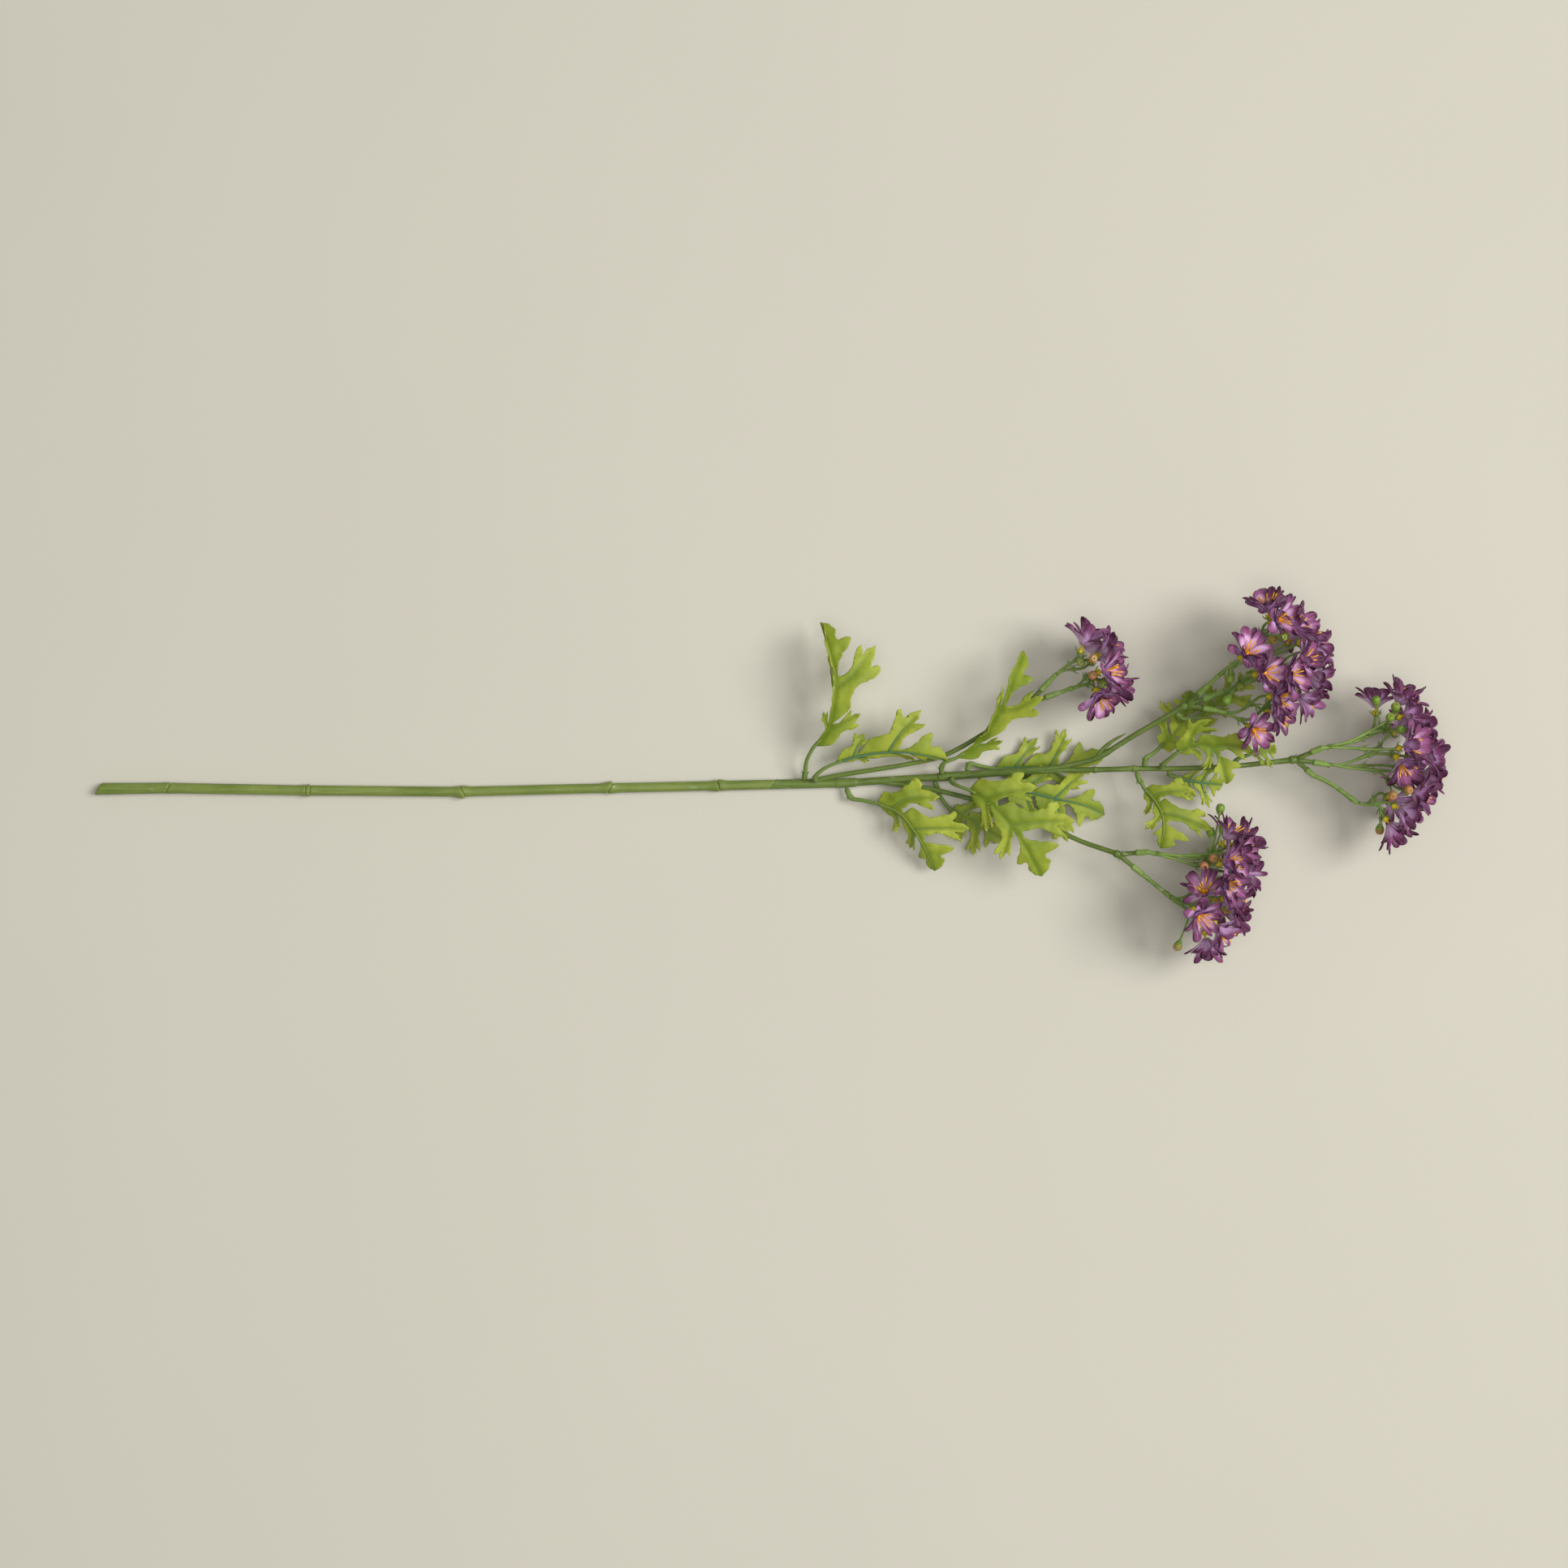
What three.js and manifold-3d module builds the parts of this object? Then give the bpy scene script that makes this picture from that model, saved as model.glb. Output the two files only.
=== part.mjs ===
// An artificial flower stem, lying down: a long cut stem with slanted joint rings, a branch with four
// arms plugged into it, toothed leaves on small pegs, moulded picks with studs and berries, and four
// heads of fabric florets. Millimetres, +Z up, the stem along +X, its lowest faces at Z = 0.

import * as THREE from 'three';
import { mergeVertices } from 'three/addons/utils/BufferGeometryUtils.js';
import Module from 'manifold-3d';

const wasm = await Module();
wasm.setup();

// ---------------------------------------------------------------- driving dimensions

// Places are read from the photograph, which looks straight down, as [u, v, z]: u and v in its
// 1932 x 1932 pixels and z the height in millimetres.
const MM_PER_PIXEL = 0.42;
const PHOTO_MIDDLE = 966;
const EYE_HEIGHT = 1500;
const ORIGIN_X = 8.1;
const ORIGIN_Y = -4.7;

const GAP = 0.35; // between any two pieces
const PLAY = 0.5; // between a peg's corners and its socket's
const SNAP = 0.0005; // vertices closer than this are one
const SLIVER = 0.1; // a join's facets narrower than this are merged into their neighbours

const STEM_SIDES = 10;
const TRUNK_SIDES = 6;
const BORE_SIDES = 6;
const ARM_SIDES = 5;
const STALK_SIDES = 4;

const BORE_RADIUS = 1.55; // through the main stem, for its wire
const BORE_OVERRUN = 2; // a bore starts this far outside its piece
const WIRE_RADIUS = 0.95;
const WIRE_INSET = 3.5; // from the cut end
const WIRE_CLEARANCE = 1.5; // from the trunk's spigot
const RING_HALF_LENGTH = 1.7;
const CUT_SLOPE = 0.6; // the cut end leans this much along X for each millimetre of Y
const CUT_ALLOWANCE = 3;

const NUB_RADIUS = 0.75; // pegs that carry the leaves
const NUB_LENGTH = 3.4;
const COLLAR_RADIUS = 1.9; // a leaf's collar, over its nub
const COLLAR_STANDOFF = 0.55; // from the branch
const COLLAR_ROOF = 0.9; // past the nub's end
const COLLAR_TAPER = 2.2;
const LEAF_STALK_RADII = [0.95, 0.85, 0.7, 0.5]; // after the collar, halfway, and into the blade
const BLADE_THICKNESS = 0.7;
const BLADE_WAVE = { height: 1.5, along: 9, sideStep: 1.7, leafStep: 2.1 };

const PRONG_RADIUS = 0.95; // pegs that carry the picks
const PRONG_ROOT_RADIUS = 1.25;
const PRONG_INSIDE = 5; // of its sleeve
const FORK_LENGTH = 9; // from an arm's end to a sleeve
const SLEEVE_RADIUS = 2.0; // a pick's sleeve, over its prong
const SLEEVE_LENGTH = 7;
const SLEEVE_CLEARANCE = 2; // before the shaft's next bend
const SHAFT_RADIUS = 1.3;
const FORK_RADIUS = 2;
const STALK_RADIUS = 0.75;
const STALK_END = -4.5; // along the floret's axis
const STALK_BEND = { leave: 0.35, arrive: 0.3, straight: 4 }; // shares of the stalk's reach, then its end
const STUD = [[-2.3, 2.1], [-0.45, 0.55], [2.4, 0.5]]; // along the floret's axis, radius: stud, neck, pin
const BERRY_RADIUS = 2.5;
const BERRY_PROFILE = [[-1, 0.6], [-0.4, 2.5], [0.9, 1.3]]; // share of its radius from the middle, radius
const BERRY_STEM_RADIUS = 0.5;

const PETALS = 6; // to a floret
const PETAL_THICKNESS = 0.8;
const PETAL_HALF_WIDTH = 2.7;
const CUP_FLOOR = 1.4;
const HOLE_RADIUS = 2.0; // to the corners of the hole for the stalk's pin
const HOLE_CORNERS = 4;
// Petals stand in two layers, one open and one more upright. Each layer gives its petals' widest
// place and tip as [out from the axis, along the axis], the slope there in degrees.
const LAYERS = [
  { wide: [9.8, 7.6], tip: [14, 9.5], slope: 28 },
  { wide: [7.2, 10.4], tip: [9.4, 14], slope: 58 },
];
const VALLEY = { spot: [4.2, 4.4], slope: 45 };
// How far florets differ: in size, in where a petal points, and in how far it is raised, with what
// that takes off its reach.
const FLORET_SPREAD = { size: 0.16, turn: 0.2, raise: 2.5, shorten: 0.6 };
const DRAWS_PER_SEED = 20; // florets numbered from one head's seed

// ---------------------------------------------------------------- colours

const COLOURS = {
  stem: { color: 0x79904b, roughness: 0.5, metalness: 0 },
  branch: { color: 0x5f7a3c, roughness: 0.5, metalness: 0 },
  leaf: { color: 0x93ab48, roughness: 0.6, metalness: 0 },
  pick: { color: 0x9fb25a, roughness: 0.5, metalness: 0 },
  petal: { color: 0x6b4573, roughness: 0.8, metalness: 0 },
  wire: { color: 0x8c8f92, roughness: 0.35, metalness: 1 },
};

// ---------------------------------------------------------------- routes and lists

// Main stem: [u, v, z, radius].
const STEM = [
  [122, 972, 3.0, 3.0], [207, 971, 3.0, 2.7], [378, 974, 3.0, 2.6], [566, 975.5, 3.0, 2.5],
  [751, 971, 3.0, 2.45], [886, 968, 3.0, 2.45], [953.8, 966.5, 3.0, 2.45],
];
// Joint rings on it: [u, extra radius].
const STEM_RINGS = [[207, 0.45], [378, 0.7], [566, 0.8], [751, 0.75], [886, 0.7]];

// The branch and its arms: [u, v, z, radius].
const TRUNK = [
  [935, 967, 3, 1.0], [954.8, 966.5, 3, 1.0], [955.4, 966.5, 3, 2.45], [1000, 965.5, 3.1, 2.4],
  [1028, 965.2, 3.3, 2.3], [1032, 965.1, 3.4, 2.9], [1039, 965, 3.6, 2.9], [1043, 964.8, 3.7, 2.0],
  [1097, 961, 5, 1.9], [1154, 957.5, 8, 1.8], [1158, 957.2, 8.2, 2.5], [1166, 956.6, 8.6, 2.5],
  [1172, 956, 8.9, 2.2], [1215, 953, 11, 2.0], [1259, 950, 13, 1.8], [1304, 949, 15, 1.5],
  [1345, 948.6, 17, 1.4], [1349, 948.5, 17.2, 1.8], [1353, 948.4, 17.4, 1.4], [1392, 947.2, 19.8, 1.4],
  [1397, 947, 20, 1.9], [1403, 947, 20.4, 1.4], [1450, 947, 23, 1.3], [1520, 944, 27, 1.25],
  [1560, 940, 30, 1.3], [1587, 937, 31.6, 1.5], [1592, 936.2, 32, 2.3], [1598, 935.5, 32.2, 1.7],
];
const ARM_A = [
  [985, 965.4, 3.2, 1.2], [1008, 961, 4.2, 1.4], [1030, 956, 6, 1.3], [1079, 948, 11, 1.25],
  [1121, 941, 13, 1.2], [1163, 931, 15, 1.2], [1212, 904, 18, 1.2], [1241, 884.5, 20, 1.2],
  [1246, 881, 20.4, 1.6], [1252, 877, 20.8, 1.2], [1268, 866.5, 22, 1.7],
];
const ARM_B = [
  [1240, 951.4, 12, 1.2], [1270, 948.5, 14.2, 1.4], [1300, 946, 15.5, 1.4], [1330, 940, 17, 1.4],
  [1349, 935, 18, 1.4], [1364, 927, 19, 1.7], [1372, 922, 19.6, 1.35], [1396, 907, 21.5, 1.35],
  [1425, 890, 24, 1.35], [1452, 874, 26.6, 1.4], [1458, 870.5, 27, 2.2], [1464, 867, 27.4, 1.5],
];
const ARM_D = [
  [1080, 963, 4.4, 1.2], [1110, 966.5, 5.2, 1.3], [1141, 971, 6.5, 1.3], [1180, 980, 8.5, 1.25],
  [1237, 996, 12, 1.25], [1294, 1019, 17, 1.25], [1333, 1037, 20, 1.25], [1371, 1050, 23.4, 1.3],
  [1376, 1052, 24, 2.1], [1381, 1054, 24.3, 1.5],
];
const SPUR = [[1349, 935, 18, 0.9], [1361, 921, 19, 1.1], [1374, 911, 19.5, 0.8], [1387, 904, 20, 0.3]];

// Leaves. way: where it sits on the branch, which way the nub points, then the leaf stalk; rib: the
// blade's midrib from base to tip; seat: the branch's radius there; left and right: each half's width
// and how many degrees it lifts from the rib's level.
const LEAVES = [
  { name: 'leaf_stem_upper', seat: 2.4, left: [13, 62], right: [21, 8],
    way: [[990, 965, 3.2], [992, 952, 8], [994, 937, 12]],
    rib: [[1003, 920, 15], [1019, 900, 19], [1028, 862, 24], [1029, 832, 26], [1021, 800, 24],
      [1011, 768, 18]] },
  { name: 'leaf_fork', seat: 2.6, left: [20, 4], right: [9, -6],
    way: [[1006, 965.3, 3.2], [1004, 958, 10], [1014, 948, 13]],
    rib: [[1028, 941, 14], [1058, 932, 17], [1095, 927, 20], [1130, 929, 23], [1168, 938, 22]] },
  { name: 'leaf_arm_a', seat: 2.5, left: [9, 38], right: [16, 4],
    way: [[1161, 957, 8.4], [1160, 948, 13], [1165, 939, 17]],
    rib: [[1178, 934, 18], [1200, 920, 20.5], [1222, 890, 25], [1238, 865, 30], [1247, 838, 32],
      [1262, 801, 28]] },
  { name: 'leaf_stem_lower', seat: 2.9, left: [23, 12], right: [10, -20],
    way: [[1040, 965, 3.6], [1046, 979, 4.6], [1062, 986, 6.5]],
    rib: [[1080, 990, 9], [1108, 1002, 15], [1125, 1022, 18], [1140, 1047, 15], [1152, 1074, 7]] },
  { name: 'leaf_under', seat: 2.2, left: [14, -6], right: [14, -4],
    way: [[1150, 957.6, 7.8], [1154, 970, 4.2], [1160, 984, 3.2]],
    rib: [[1172, 998, 3.2], [1200, 1012, 3.6], [1237, 1035, 2.6]] },
  { name: 'leaf_collar', seat: 2.5, left: [25, 8], right: [14, -18],
    way: [[1172, 956, 9], [1173, 963, 15], [1180, 968, 20]],
    rib: [[1193, 973, 23], [1215, 985, 28], [1240, 1010, 31], [1262, 1040, 30], [1284, 1080, 23]] },
  { name: 'leaf_back_lower', seat: 2.3, left: [16, -3], right: [19, -6],
    way: [[1206, 953.8, 10.6], [1208, 966, 11], [1222, 974, 11]],
    rib: [[1240, 972, 10.5], [1268, 976, 9.5], [1300, 984, 9.5], [1335, 992, 9.5], [1362, 1004, 8]] },
  { name: 'leaf_back_upper', seat: 2.4, left: [17, 4], right: [12, -3],
    way: [[1190, 955, 9.8], [1193, 945, 6.5], [1208, 944, 4]],
    rib: [[1226, 947, 3.6], [1265, 946, 3.8], [1310, 944, 4], [1362, 930, 3.6]] },
  { name: 'leaf_arm_c_lower', seat: 1.9, left: [22, 10], right: [9, -20],
    way: [[1399, 947, 20.2], [1402, 956, 21], [1406, 964, 22]],
    rib: [[1410, 972, 23], [1424, 988, 28], [1432, 1004, 31], [1434, 1022, 33], [1430, 1046, 31]] },
  { name: 'leaf_arm_b_inner', seat: 1.45, left: [13, -4], right: [15, 8],
    way: [[1409, 947, 20.7], [1411, 937, 24], [1420, 929, 24]],
    rib: [[1430, 920, 22], [1446, 905, 17], [1458, 886, 13], [1468, 850, 10]] },
  { name: 'leaf_arm_c_upper', seat: 1.35, left: [15, 10], right: [9, -10],
    way: [[1429, 947, 22], [1432, 943, 27], [1440, 936, 31]],
    rib: [[1450, 928, 34], [1468, 919, 37], [1486, 918, 39], [1502, 932, 39], [1512, 966, 36]] },
  { name: 'leaf_arm_c_under', seat: 1.35, left: [10, 6], right: [11, -6],
    way: [[1440, 946.6, 22.5], [1441, 953, 18], [1448, 957, 15]],
    rib: [[1456, 960, 13], [1478, 964, 11], [1508, 967, 9]] },
  { name: 'leaf_head_b', seat: 1.5, left: [10, 10], right: [10, 0],
    way: [[1447, 877, 26.2], [1455, 884, 22], [1466, 886, 19]],
    rib: [[1478, 880, 18], [1505, 862, 17], [1528, 846, 16], [1546, 826, 14]] },
  { name: 'leaf_head_c', seat: 1.5, left: [9, 8], right: [8, 4],
    way: [[1522, 944, 27.2], [1523, 938, 32], [1533, 932, 35]],
    rib: [[1543, 929, 36], [1556, 926, 36.5], [1572, 923, 35]] },
];

// Flower heads. A pick's way goes from its seat on the arm to the point where its stalks part. A floret
// is [u, v, z, heading, rise]: the middle of its base, and the way it opens, in degrees in plan and
// above the level. A berry is [u, v, z].
const HEADS = [
  { name: 'a', seed: 31, picks: [
    { way: [[1268, 866.5, 22], [1284, 849, 25], [1301, 831, 28]],
      florets: [[1333, 798, 32, 62, 5], [1356, 806, 36, 28, 12], [1346, 813, 22, 45, -20]],
      berries: [[1346.6, 811.5, 47], [1332, 816, 40]] },
    { way: [[1268, 866.5, 22], [1295, 857, 25], [1322, 847.5, 27]],
      florets: [[1357, 828, 44, 5, 32], [1364, 842, 31, -22, 5], [1352, 854, 37, -68, 40],
        [1352, 838, 21, -30, -20]],
      berries: [[1346.6, 832, 46], [1360, 843, 46]] },
  ] },
  { name: 'b', seed: 42, picks: [
    { way: [[1461, 869, 27.2], [1482, 850, 33], [1502, 832, 38]],
      florets: [[1563, 756, 40, 100, 25], [1570, 765, 46, 15, 50], [1532, 808, 51, 50, 55],
        [1588, 777, 42, 35, 30], [1604, 789, 34, 35, 10], [1588, 790, 17, 35, -25]],
      berries: [[1568, 788, 46], [1580, 785, 52], [1515.7, 836, 42]] },
    { way: [[1461, 869, 27.2], [1484, 861, 29], [1508, 852, 30]],
      florets: [[1551, 830, 53, 5, 45], [1580, 832, 50, 0, 35], [1600, 816, 44, 22, 35],
        [1612, 802, 28, 10, 5], [1610, 833, 31, -12, 5], [1590, 830, 17, 0, -25]],
      berries: [[1529, 846, 42], [1511.5, 863, 38]] },
    { way: [[1461, 869, 27.2], [1486, 873, 30], [1512, 879, 32]],
      florets: [[1568, 859, 46, -15, 48], [1566, 878, 40, -20, 22], [1541, 897, 42, -45, 55],
        [1600, 857, 33, -32, 8]],
      berries: [[1583, 892, 36]] },
  ] },
  { name: 'c', seed: 25, picks: [
    { way: [[1596, 935.8, 32.2], [1616, 927, 36], [1637, 921, 38]],
      florets: [[1695, 874, 24, 88, 0], [1722, 870, 32, 66, 14], [1728, 882, 36, 20, 18],
        [1742, 898, 27, 5, 0], [1728, 921, 47, 10, 32], [1720, 901, 17, 30, -22]],
      berries: [[1695.6, 863, 36], [1719.5, 871, 44], [1713, 884, 46], [1726, 899, 48]] },
    { way: [[1596, 935.8, 32.2], [1616, 939, 33], [1638, 943, 33]],
      florets: [[1723, 936, 43, -60, 32], [1750, 932, 36, 0, 12], [1750, 954, 28, -8, 0],
        [1738, 976, 40, -15, 22], [1724, 946, 17, -10, -22]],
      berries: [[1716, 979.5, 47], [1735.5, 973, 49]] },
    { way: [[1596, 935.8, 32.2], [1612, 950, 27], [1640, 966, 26], [1673, 990, 28]],
      florets: [[1722, 995, 34, -28, 15], [1710, 1013, 29, -55, 8], [1712, 984, 19, -35, -22]],
      berries: [[1700, 1022.5, 24]] },
  ] },
  { name: 'd', seed: 77, picks: [
    { way: [[1378, 1052.8, 24.2], [1399, 1051, 27], [1424, 1052, 29]],
      florets: [[1508, 1036, 34, 58, 10], [1522, 1040, 27, 22, 0], [1519, 1050, 39, 5, 24],
        [1506, 1064, 44, 12, 38], [1528, 1076, 31, -5, 0], [1507, 1060, 17.5, 10, -22]],
      berries: [[1503.8, 996, 34], [1491.5, 1025, 31], [1507, 1020.5, 37], [1484, 1067, 46],
        [1495, 1058, 48]] },
    { way: [[1378, 1052.8, 24.2], [1394, 1066, 25], [1411, 1075, 26], [1442, 1105, 28]],
      florets: [[1504, 1087, 45, -20, 42], [1484, 1104, 45, 105, 45], [1473, 1124, 43, -50, 50],
        [1511, 1108, 37, -12, 15], [1512, 1124, 28, -18, 0], [1499, 1139, 35, -45, 15],
        [1485, 1154, 27, -80, 0], [1497, 1109, 17.5, -25, -22]],
      berries: [[1451, 1166, 26]] },
  ] },
];

// ---------------------------------------------------------------- small helpers

// The point in the part's frame that the photograph shows at pixel (u, v), z above the surface.
function at([u, v, z]) {
  const scale = MM_PER_PIXEL * (1 - z / EYE_HEIGHT);
  return new THREE.Vector3(ORIGIN_X + (u - PHOTO_MIDDLE) * scale, ORIGIN_Y + (PHOTO_MIDDLE - v) * scale, z);
}

// A repeatable number from -0.5 to 0.5 for the n-th thing's k-th draw.
function draw(n, k) {
  const x = Math.sin(n * 12.9898 + k * 78.233) * 43758.5453;
  return x - Math.floor(x) - 0.5;
}

const degrees = THREE.MathUtils.degToRad;
const lerp = THREE.MathUtils.lerp;

// a + b * scale, as a new point.
function offset(a, b, scale) {
  return a.clone().addScaledVector(b, scale);
}

function toward(from, to) {
  return to.clone().sub(from).normalize();
}

// A solid from points and the triangles between them.
function solidOf(points, triangles) {
  const vertProperties = new Float32Array(points.flatMap((p) => [p.x, p.y, p.z]));
  const mesh = new wasm.Mesh({ numProp: 3, vertProperties, triVerts: new Uint32Array(triangles.flat()) });
  return new wasm.Manifold(mesh);
}

function join(solids) {
  return solids.reduce((whole, next) => whole.add(next));
}

// The largest body of a solid: what falls off it as a loose scrap is left out.
function largest(solid) {
  return solid.decompose().reduce((a, b) => (a.volume() > b.volume() ? a : b));
}

// ---------------------------------------------------------------- tubes

function stationsOf(list) {
  return list.map((row) => ({ p: at(row), r: row[3] }));
}

// A closed tube of so many sides through stations { p, r }, turned with its path without twisting.
function tube(stations, sides) {
  const last = stations.length - 1;
  const points = [];
  const triangles = [];
  let normal = null;
  stations.forEach(({ p, r }, i) => {
    const along = toward(stations[Math.max(i - 1, 0)].p, stations[Math.min(i + 1, last)].p);
    const seed = normal ?? new THREE.Vector3(0, 0, 1);
    normal = offset(seed, along, -seed.dot(along)).normalize();
    const across = along.clone().cross(normal);
    for (let k = 0; k < sides; k += 1) {
      const turn = ((k + 0.5) / sides) * 2 * Math.PI;
      points.push(offset(offset(p, normal, r * Math.cos(turn)), across, r * Math.sin(turn)));
    }
  });
  for (let i = 0; i < last; i += 1) {
    for (let k = 0; k < sides; k += 1) {
      const a = i * sides + k;
      const b = i * sides + ((k + 1) % sides);
      triangles.push([a, b, b + sides], [a, b + sides, a + sides]);
    }
  }
  for (let k = 1; k < sides - 1; k += 1) {
    triangles.push([0, k + 1, k], [last * sides, last * sides + k, last * sides + k + 1]);
  }
  return solidOf(points, triangles);
}

// The same tube fattened all round and longer at its ends, for cutting room round it.
function room(stations, sides) {
  const fat = stations.map(({ p, r }) => ({ p, r: (r + GAP) / Math.cos(Math.PI / sides) }));
  const last = fat.length - 1;
  fat[0].p = offset(fat[0].p, toward(fat[1].p, fat[0].p), GAP);
  fat[last].p = offset(fat[last].p, toward(fat[last - 1].p, fat[last].p), GAP);
  return tube(fat, sides);
}

// A large box with one face on z = 0, which keeps everything above the surface.
function aboveSurface() {
  const size = 1000;
  const box = new THREE.BoxGeometry(size, size, size).translate(0, 0, size / 2);
  return solidFromGeometry(box);
}

function solidFromGeometry(geometry) {
  geometry.deleteAttribute('normal');
  geometry.deleteAttribute('uv');
  const merged = mergeVertices(geometry, SNAP);
  const vertProperties = new Float32Array(merged.attributes.position.array);
  const triVerts = new Uint32Array(merged.index.array);
  return new wasm.Manifold(new wasm.Mesh({ numProp: 3, vertProperties, triVerts }));
}

// ---------------------------------------------------------------- main stem and its wire

// The stem's outside: its route with a swelling at each joint ring.
function stemStations() {
  const rows = STEM.map((row) => ({ u: row[0], ...stationsOf([row])[0] }));
  const curve = (u) => {
    const k = Math.min(rows.findIndex((row) => row.u >= u), rows.length - 1);
    const before = rows[Math.max(k - 1, 0)];
    const after = rows[k];
    const t = after.u === before.u ? 0 : (u - before.u) / (after.u - before.u);
    return { u, p: before.p.clone().lerp(after.p, t), r: lerp(before.r, after.r, t) };
  };
  const half = RING_HALF_LENGTH / MM_PER_PIXEL;
  const plain = rows.filter((row) => !STEM_RINGS.some(([u]) => Math.abs(row.u - u) < 2 * half));
  const rings = STEM_RINGS.flatMap(([u, extra]) => [
    curve(u - 2 * half), { ...curve(u - half / 2), r: curve(u).r + extra },
    { ...curve(u + half / 2), r: curve(u).r + extra }, curve(u + 2 * half)]);
  return [...plain, ...rings].sort((a, b) => a.u - b.u);
}

// What the slanted cut takes off the stem's end.
function cutEnd() {
  const [u, v, z] = STEM[0];
  const size = 20;
  const wedge = new THREE.BoxGeometry(size, size * 2, size * 2);
  const slant = Math.atan(CUT_SLOPE);
  const place = at([u, v, z]);
  wedge.translate(-size / 2, 0, 0).rotateZ(-slant).translate(place.x, place.y, place.z);
  return solidFromGeometry(wedge);
}

function mainStem(surface) {
  const outside = stemStations();
  outside[0].p.x -= CUT_ALLOWANCE;
  const bore = [outside[0], ...stationsOf(STEM).slice(1)].map(({ p }) => ({ p: p.clone(), r: BORE_RADIUS }));
  bore[0].p.x -= BORE_OVERRUN;
  bore[bore.length - 1].p.x += BORE_OVERRUN;
  return tube(outside, STEM_SIDES).subtract(tube(bore, BORE_SIDES)).subtract(cutEnd()).intersect(surface);
}

function stemWire() {
  const inside = stationsOf(STEM).map(({ p }) => ({ p: p.clone(), r: WIRE_RADIUS }));
  inside[0].p.x += WIRE_INSET;
  inside[inside.length - 1].p.x = at(TRUNK[0]).x - WIRE_CLEARANCE;
  return tube(inside, BORE_SIDES);
}

// ---------------------------------------------------------------- branch

// Where a leaf's collar starts and its nub ends, and the way they point.
function leafSeat(leaf) {
  const seat = at(leaf.way[0]);
  const out = toward(seat, at(leaf.way[1]));
  const start = offset(seat, out, leaf.seat + COLLAR_STANDOFF);
  return { seat, out, start, end: offset(seat, out, leaf.seat + NUB_LENGTH) };
}

// Where a pick's sleeve starts and its prong ends.
function pickSeat(pick) {
  const seat = at(pick.way[0]);
  const out = toward(seat, at(pick.way[1]));
  const start = offset(seat, out, FORK_LENGTH);
  return { seat, out, start, end: offset(start, out, PRONG_INSIDE) };
}

function branchFrame(surface) {
  const trunk = tube(stationsOf(TRUNK), TRUNK_SIDES);
  const arms = [ARM_A, ARM_B, ARM_D, SPUR].map((arm) => tube(stationsOf(arm), ARM_SIDES));
  const nubs = LEAVES.map(leafSeat).map(({ seat, end }) => tube(
    [{ p: seat, r: NUB_RADIUS }, { p: end, r: NUB_RADIUS }], STALK_SIDES));
  const prongs = HEADS.flatMap((head) => head.picks).map(pickSeat).map(({ seat, end }) => tube(
    [{ p: seat, r: PRONG_ROOT_RADIUS }, { p: end, r: PRONG_RADIUS }], ARM_SIDES));
  return join([trunk, ...arms, ...nubs, ...prongs]).intersect(surface);
}

// ---------------------------------------------------------------- leaves

// Places on a blade are [along the rib, share of the half's width]. A web runs beside the rib, and
// lobes grow from it, each from the three steps that start at its first one. Breadth is a lobe's half
// breadth as a share of the width.
const RIB_STEPS = [0, 0.08, 0.17, 0.26, 0.38, 0.48, 0.58, 0.72, 0.86, 1];
const WEB_SHARE = 0.14;
const LOBES = [
  { first: 1, tip: [0.36, 0.82], breadth: 0.2 },
  { first: 4, tip: [0.68, 1.0], breadth: 0.24 },
];
// A lobe's edge from its near side round to its far side: share of the way out, share of the breadth.
const LOBE_EDGE = [[0.3, -0.5], [0.74, -0.9], [1.0, -0.1], [0.8, 0.8], [0.32, 0.5]];
// The end lobe, from the web's last step.
const CROWN_STEP = 7;
const CROWN = [[0.79, 0.46], [0.86, 0.28], [0.94, 0.24]];

// A point of a lobe's edge, for a rib and a half-width in millimetres.
function lobePoint(lobe, [out, beside], length, width) {
  const root = RIB_STEPS[lobe.first + 1];
  const axis = new THREE.Vector2((lobe.tip[0] - root) * length, (lobe.tip[1] - WEB_SHARE) * width);
  const across = new THREE.Vector2(axis.y, -axis.x).normalize().multiplyScalar(beside * lobe.breadth * width);
  const place = axis.multiplyScalar(out).add(across);
  return [root + place.x / length, WEB_SHARE + place.y / width];
}

// A blade bends along its rib, lifts to each side and waves at its edge.
function bladeSurface(leaf, index) {
  const curve = new THREE.CatmullRomCurve3(leaf.rib.map(at));
  const sideAt = (t) => {
    const along = curve.getTangentAt(THREE.MathUtils.clamp(t, 0, 1));
    return { along, side: new THREE.Vector3(0, 0, 1).cross(along).normalize() };
  };
  const length = curve.getLength();
  const surface = ([t, share], hand) => {
    const { along, side } = sideAt(t);
    const up = along.clone().cross(side);
    const [width, lift] = hand > 0 ? leaf.left : leaf.right;
    const inside = THREE.MathUtils.clamp(t, 0, 1);
    const rib = offset(curve.getPointAt(inside), along, (t - inside) * length);
    const phase = BLADE_WAVE.along * t + hand * BLADE_WAVE.sideStep + index * BLADE_WAVE.leafStep;
    const wave = BLADE_WAVE.height * share * share * Math.sin(phase);
    const slope = degrees(lift);
    const out = offset(side.clone().multiplyScalar(hand * Math.cos(slope)), up, Math.sin(slope));
    const face = offset(up.clone().multiplyScalar(Math.cos(slope)), side, -hand * Math.sin(slope));
    return { p: offset(offset(rib, out, share * width), face, wave), face: share === 0 ? up : face };
  };
  return { surface, length };
}

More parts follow.
